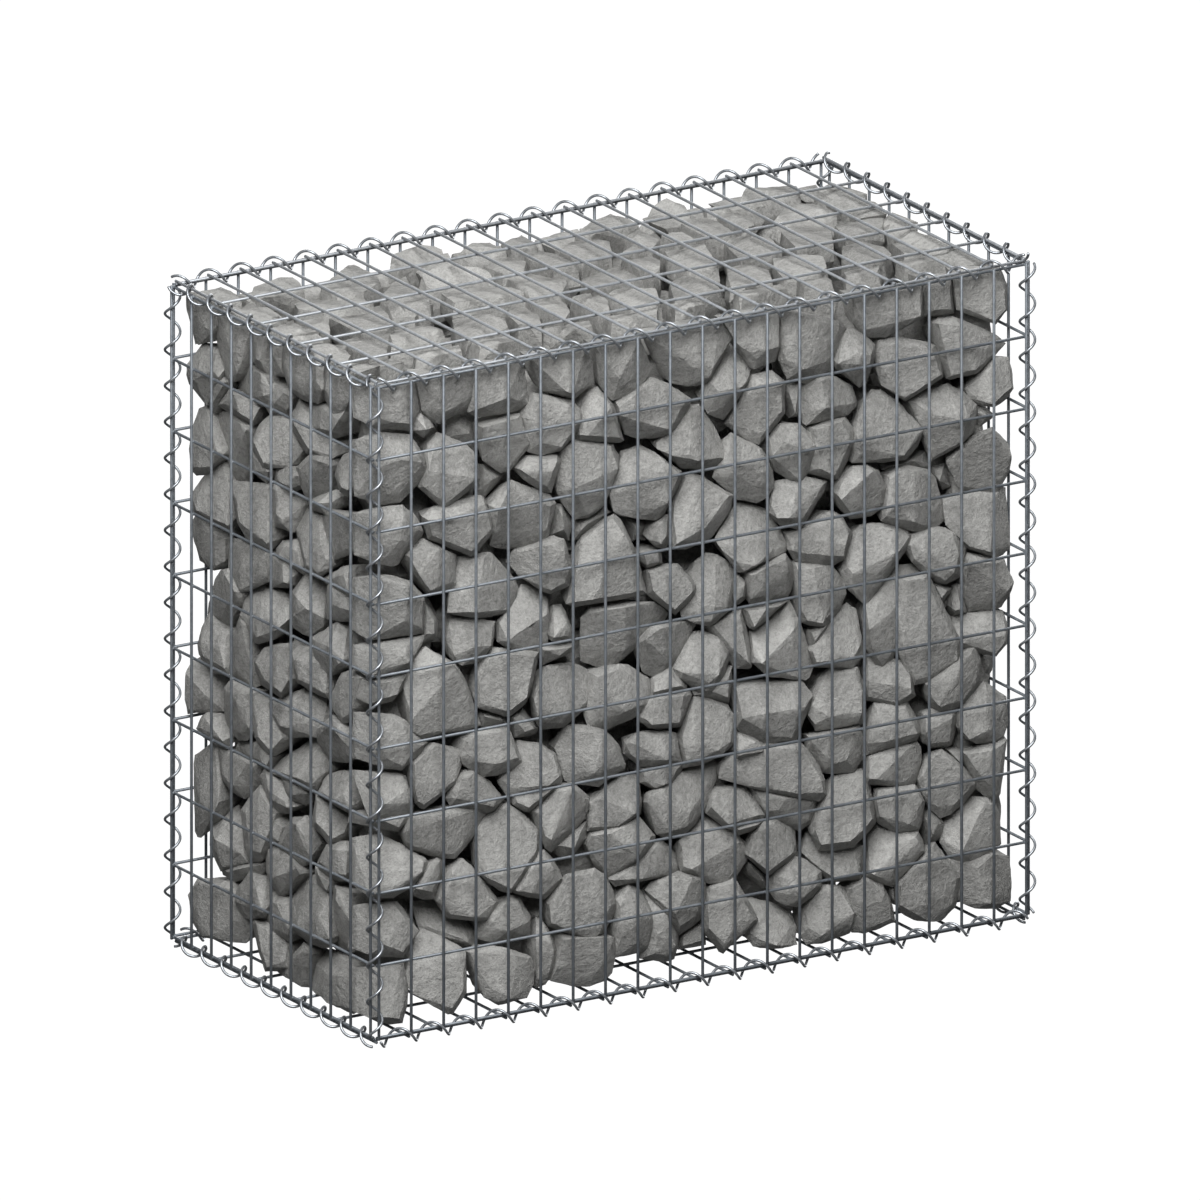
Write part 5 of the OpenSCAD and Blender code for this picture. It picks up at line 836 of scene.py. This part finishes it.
def relief(rng, corners, most):
    """A stone's front: which way it leans, and often a ridge across it. Gives depth at a point, and the ridge's ends."""
    c = np.mean([q[:2] for q in corners], axis=0)
    a = math.radians(90 + rng.uniform(-70, 75)) if rng.random() < 0.7 else rng.uniform(0, 2 * math.pi)
    s = rng.uniform(0.05, most)
    fu, fv = s * math.cos(a), s * math.sin(a)
    size = max(math.hypot(q[0] - c[0], q[1] - c[1]) for q in corners)
    ridge = size > 2.4 and rng.random() < 0.75
    b = rng.uniform(0, math.pi)
    nu, nv = -math.sin(b), math.cos(b)
    c = c + np.array((nu, nv)) * rng.uniform(-0.25, 0.25) * size
    s1, s2 = (rng.uniform(0.10, 0.48), rng.uniform(0.10, 0.48)) if ridge else (0.0, 0.0)

    def fall(u, v):
        h = (u - c[0]) * nu + (v - c[1]) * nv
        return fu * (u - c[0]) + fv * (v - c[1]) + abs(h) * (s1 if h > 0 else s2)

    ends = []
    if ridge:
        for k in range(len(corners)):
            p, q = corners[k], corners[(k + 1) % len(corners)]
            hp = (p[0] - c[0]) * nu + (p[1] - c[1]) * nv
            hq = (q[0] - c[0]) * nu + (q[1] - c[1]) * nv
            if hp * hq < 0:
                t = hp / (hp - hq)
                ends.append((p[0] + (q[0] - p[0]) * t, p[1] + (q[1] - p[1]) * t))
    low = min(fall(*q[:2]) for q in list(corners) + ends)
    return (lambda u, v: fall(u, v) - low), ends


def read(face, text, soup, seed):
    for n, line in enumerate(text.strip().splitlines()):
        line = line.strip()
        if not line or line[0] == "#":
            continue
        rng = random.Random(seed * 1000 + n)
        d0 = 0.0
        if line[0] == "@":
            first, line = line.split(" ", 1)
            d0 = float(first[1:])
        outline, pts = [], []
        if face == "top":
            # the bright top of a stone; its sides fall away under it
            crest = []
            corners = [tuple(float(t) for t in w.split(",")) for w in line.split()]
            c = np.mean(corners, axis=0)
            corners = [(c[0] + (u - c[0]) * 0.97, c[1] + (v - c[1]) * 0.97) for u, v in corners]
            fall, ends = relief(rng, corners, 0.28)
            for n_, (u, v) in enumerate(corners + ends):
                d = d0 + fall(u, v) + rng.uniform(0.02, 0.16)
                u, v = seen(face, u, v, d)
                if n_ < len(corners):
                    crest.append((u, v, d))
                pts.append(place(face, u, v, d))
            c = np.mean(crest, axis=0)
            for u, v, d in crest:
                k = 1 + 1.0 / max(2.0, math.hypot(u - c[0], v - c[1])) * rng.uniform(0.1, 0.7)
                u, v = c[0] + (u - c[0]) * k, c[1] + (v - c[1]) * k
                outline.append((u, v))
                pts.append(place(face, u, v, d + rng.uniform(2.0, 3.2)))
        else:
            o, crest = line.split(";")
            crest = [[float(t) for t in w.split(",")] for w in crest.split()]
            fall, ends = relief(rng, crest, 0.38)
            for q in crest + ends:
                d = d0 + (q[2] if len(q) > 2 else rng.uniform(0.05, 0.3)) + fall(q[0], q[1])
                pts.append(place(face, *seen(face, q[0], q[1], d), d))
            for w in o.split():
                u, v = (float(t) for t in w.split(","))
                d = d0 + min(4.6, max(rng.uniform(*DEEP[face]), fall(u, v) + rng.uniform(0.5, 1.1)))
                at_top = v > 89.4
                if at_top:
                    d = d0 + rng.uniform(0.9, 1.4)
                u, v = seen(face, u, v, d)
                if at_top:
                    v = rng.uniform(89.5, 89.95)
                outline.append((u, v))
                pts.append(place(face, u, v, d))
        pts += back_points(face, outline, d0, rng)
        rock(soup, pts, rng, tone=0.5 + (rng.random() - 0.5) * 0.9)


def cells(w0, w1, h0, h1, spacing, rng):
    """Seeds thrown on a rectangle, and the region nearest to each one."""
    seeds, tries = [], 0
    while tries < 4000:
        tries += 1
        p = (rng.uniform(w0, w1), rng.uniform(h0, h1))
        s = spacing * rng.uniform(0.74, 1.2)
        if all((p[0] - q[0]) ** 2 + ((p[1] - q[1]) * 1.1) ** 2 > s * s for q in seeds):
            seeds.append(p)
            tries = max(0, tries - 200)
    out = []
    for i, p in enumerate(seeds):
        poly = [(w0, h0), (w1, h0), (w1, h1), (w0, h1)]
        for j, q in enumerate(seeds):
            if i == j or abs(q[0] - p[0]) > 4 * spacing or abs(q[1] - p[1]) > 4 * spacing:
                continue
            mx, my, nx, ny = (p[0] + q[0]) / 2, (p[1] + q[1]) / 2, q[0] - p[0], q[1] - p[1]
            new = []
            for k in range(len(poly)):
                a, b = poly[k], poly[(k + 1) % len(poly)]
                da = (a[0] - mx) * nx + (a[1] - my) * ny
                db = (b[0] - mx) * nx + (b[1] - my) * ny
                if da <= 0:
                    new.append(a)
                if da * db < 0:
                    t = da / (da - db)
                    new.append((a[0] + (b[0] - a[0]) * t, a[1] + (b[1] - a[1]) * t))
            poly = new
            if not poly:
                break
        if len(poly) >= 3:
            out.append(poly)
    return out


def made_up(face, w0, w1, h0, h1, soup, seed, spacing=8.2, fine=0.02, grow=1.0):
    """Stones for a face that the photo does not show, in the manner of the ones it does."""
    rng = random.Random(seed)
    for poly in cells(w0, w1, h0, h1, spacing, rng):
        c = np.mean(poly, axis=0)
        d0 = rng.uniform(0.0, 1.7)
        outline, corners, pts = [], [], []
        for u, v in poly:
            s = rng.uniform(0.95, 1.07) * grow
            outline.append((c[0] + (u - c[0]) * s, c[1] + (v - c[1]) * s))
            s = rng.uniform(0.52, 0.86)
            corners.append((c[0] + (u - c[0]) * s, c[1] + (v - c[1]) * s))
        fall, ends = relief(rng, corners, 0.42)
        for u, v in corners + ends:
            pts.append(place(face, u, v, d0 + fall(u, v) + rng.uniform(0.03, 0.3)))
        for u, v in outline:
            pts.append(place(face, u, v, d0 + max(rng.uniform(1.5, 3.2), min(4.4, fall(u, v) + rng.uniform(0.5, 1.2)))))
        for u, v in outline:
            s = rng.uniform(0.62, 0.84)
            pts.append(place(face, c[0] + (u - c[0]) * s, c[1] + (v - c[1]) * s, d0 + rng.uniform(5.4, 6.8)))
        rock(soup, pts, rng, fine=fine, tone=0.5 + (rng.random() - 0.5) * 0.9)


def core(soup, seed):
    """The stones inside, seen only as dark shapes through the gaps."""
    rng = random.Random(seed)
    step = 0.092
    lo = (X0 + 0.105, YF + 0.118, Z0 + 0.075)
    hi = (X1 - 0.10, YB - 0.10, Z1 - 0.11)
    n = [max(1, round((hi[i] - lo[i]) / step)) for i in range(3)]
    for i in range(n[0] + 1):
        for j in range(n[1] + 1):
            for k in range(n[2] + 1):
                c = [lo[a] + (hi[a] - lo[a]) * q / n[a] + rng.uniform(-0.012, 0.012) for a, q in enumerate((i, j, k))]
                if c[1] < YF + 0.17 and c[2] < Z0 + 0.13:
                    c[2] += 0.03
                pts = []
                for _ in range(16):
                    d = Vector((rng.gauss(0, 1), rng.gauss(0, 1), rng.gauss(0, 1))).normalized()
                    r = rng.uniform(0.052, 0.064)
                    pts.append((c[0] + d.x * r, c[1] + d.y * r, c[2] + d.z * r * 0.92))
                rock(soup, pts, rng, fine=0.0, wear=0.0, rough=0.0)


front = Soup()
read("front", FRONT, front, 1)
top = Soup()
read("left", LEFT, top, 2)
read("top", TOP, top, 3)
made = Soup()
inner = Soup()
made_up("back", 7.0, 97.0, 0.6, 88.5, made, 23, fine=0.02)
made_up("right", 5.0, 44.0, 0.6, 89.6, made, 24, fine=0.02, grow=1.07)
made_up("bottom", 7.5, 92.5, 14.0, 44.0, made, 25, fine=0.03)
core(inner, 31)
front.build("stones_front", STONE, ["stone_fill_lower"], True)
top.build("stones_left_and_top", STONE, ["stone_fill_middle"], True)
made.build("stones_other_sides", STONE, ["stone_fill_upper"], True)
inner.build("stones_inside", STONE, (), True)


# ------------------------------------------------------------------ floor, lights, camera
def floor():
    m, N, L, B = nodes_of("pale_floor")
    B.inputs["Base Color"].default_value = (0.0, 0.0, 0.0, 1)
    B.inputs["Roughness"].default_value = 0.95
    B.inputs["Specular IOR Level"].default_value = 0.0
    B.inputs["Emission Color"].default_value = (1, 1, 1, 1)
    B.inputs["Emission Strength"].default_value = 1.05
    me = bpy.data.meshes.new("studio_floor")
    r, n = 34.0, 64
    v = [(r * math.cos(2 * math.pi * i / n), r * math.sin(2 * math.pi * i / n), cad_lo.z - 0.0005) for i in range(n)]
    me.from_pydata(v, [], [tuple(range(n))])
    me.materials.append(m)
    ob = bpy.data.objects.new("studio_floor", me)
    ob.visible_diffuse = False         # a white floor that throws no light back up
    ob.visible_glossy = False
    sc.collection.objects.link(ob)


floor()
w = bpy.data.worlds.new("studio")
sc.world = w
w.use_nodes = True
w.node_tree.nodes["Background"].inputs["Color"].default_value = (1, 1, 1, 1)
w.node_tree.nodes["Background"].inputs["Strength"].default_value = 0.14
# the backdrop itself is plain white; only its light is kept low
white = w.node_tree.nodes.new("ShaderNodeBackground")
white.inputs["Color"].default_value = (1, 1, 1, 1)
white.inputs["Strength"].default_value = 1.05
seen_as = w.node_tree.nodes.new("ShaderNodeMixShader")
path = w.node_tree.nodes.new("ShaderNodeLightPath")
w.node_tree.links.new(path.outputs["Is Camera Ray"], seen_as.inputs["Fac"])
w.node_tree.links.new(w.node_tree.nodes["Background"].outputs[0], seen_as.inputs[1])
w.node_tree.links.new(white.outputs[0], seen_as.inputs[2])
w.node_tree.links.new(seen_as.outputs[0], w.node_tree.nodes["World Output"].inputs["Surface"])


def light(name, kind, toward, energy, far=4.0, spread=0.0, across=0.0):
    d = bpy.data.lights.new(name, kind)
    d.energy = energy
    if kind == "SUN":
        d.angle = math.radians(spread)
    else:
        d.shape, d.size = "DISK", across
    o = bpy.data.objects.new(name, d)
    o.location = Vector(((X0 + X1) / 2, (YF + YB) / 2, (Z0 + Z1) / 2)) + Vector(toward).normalized() * far
    o.rotation_mode = "QUATERNION"
    o.rotation_quaternion = (-Vector(toward)).to_track_quat("-Z", "Y")
    sc.collection.objects.link(o)


light("key", "AREA", (-0.43, -0.54, 0.80), 1090, far=7.5, across=5.4)
light("behind", "SUN", (0.76, 0.64, 0.12), 2.2, spread=50)

cam = bpy.data.cameras.new("camera")
cam.type = "ORTHO"
cam.ortho_scale = 1.579
co = bpy.data.objects.new("camera", cam)
sc.collection.objects.link(co)
az, el = math.radians(-31.57), math.radians(18.1)
back = Vector((math.sin(az) * math.cos(el), -math.cos(az) * math.cos(el), math.sin(el)))
aim = Vector(((X0 + X1) / 2, (YF + YB) / 2, (Z0 + Z1) / 2))
co.rotation_mode = "QUATERNION"
co.location = aim + back * 4.0
co.rotation_quaternion = (-back).to_track_quat("-Z", "Y")
cam.clip_start, cam.clip_end = 0.05, 120
sc.camera = co
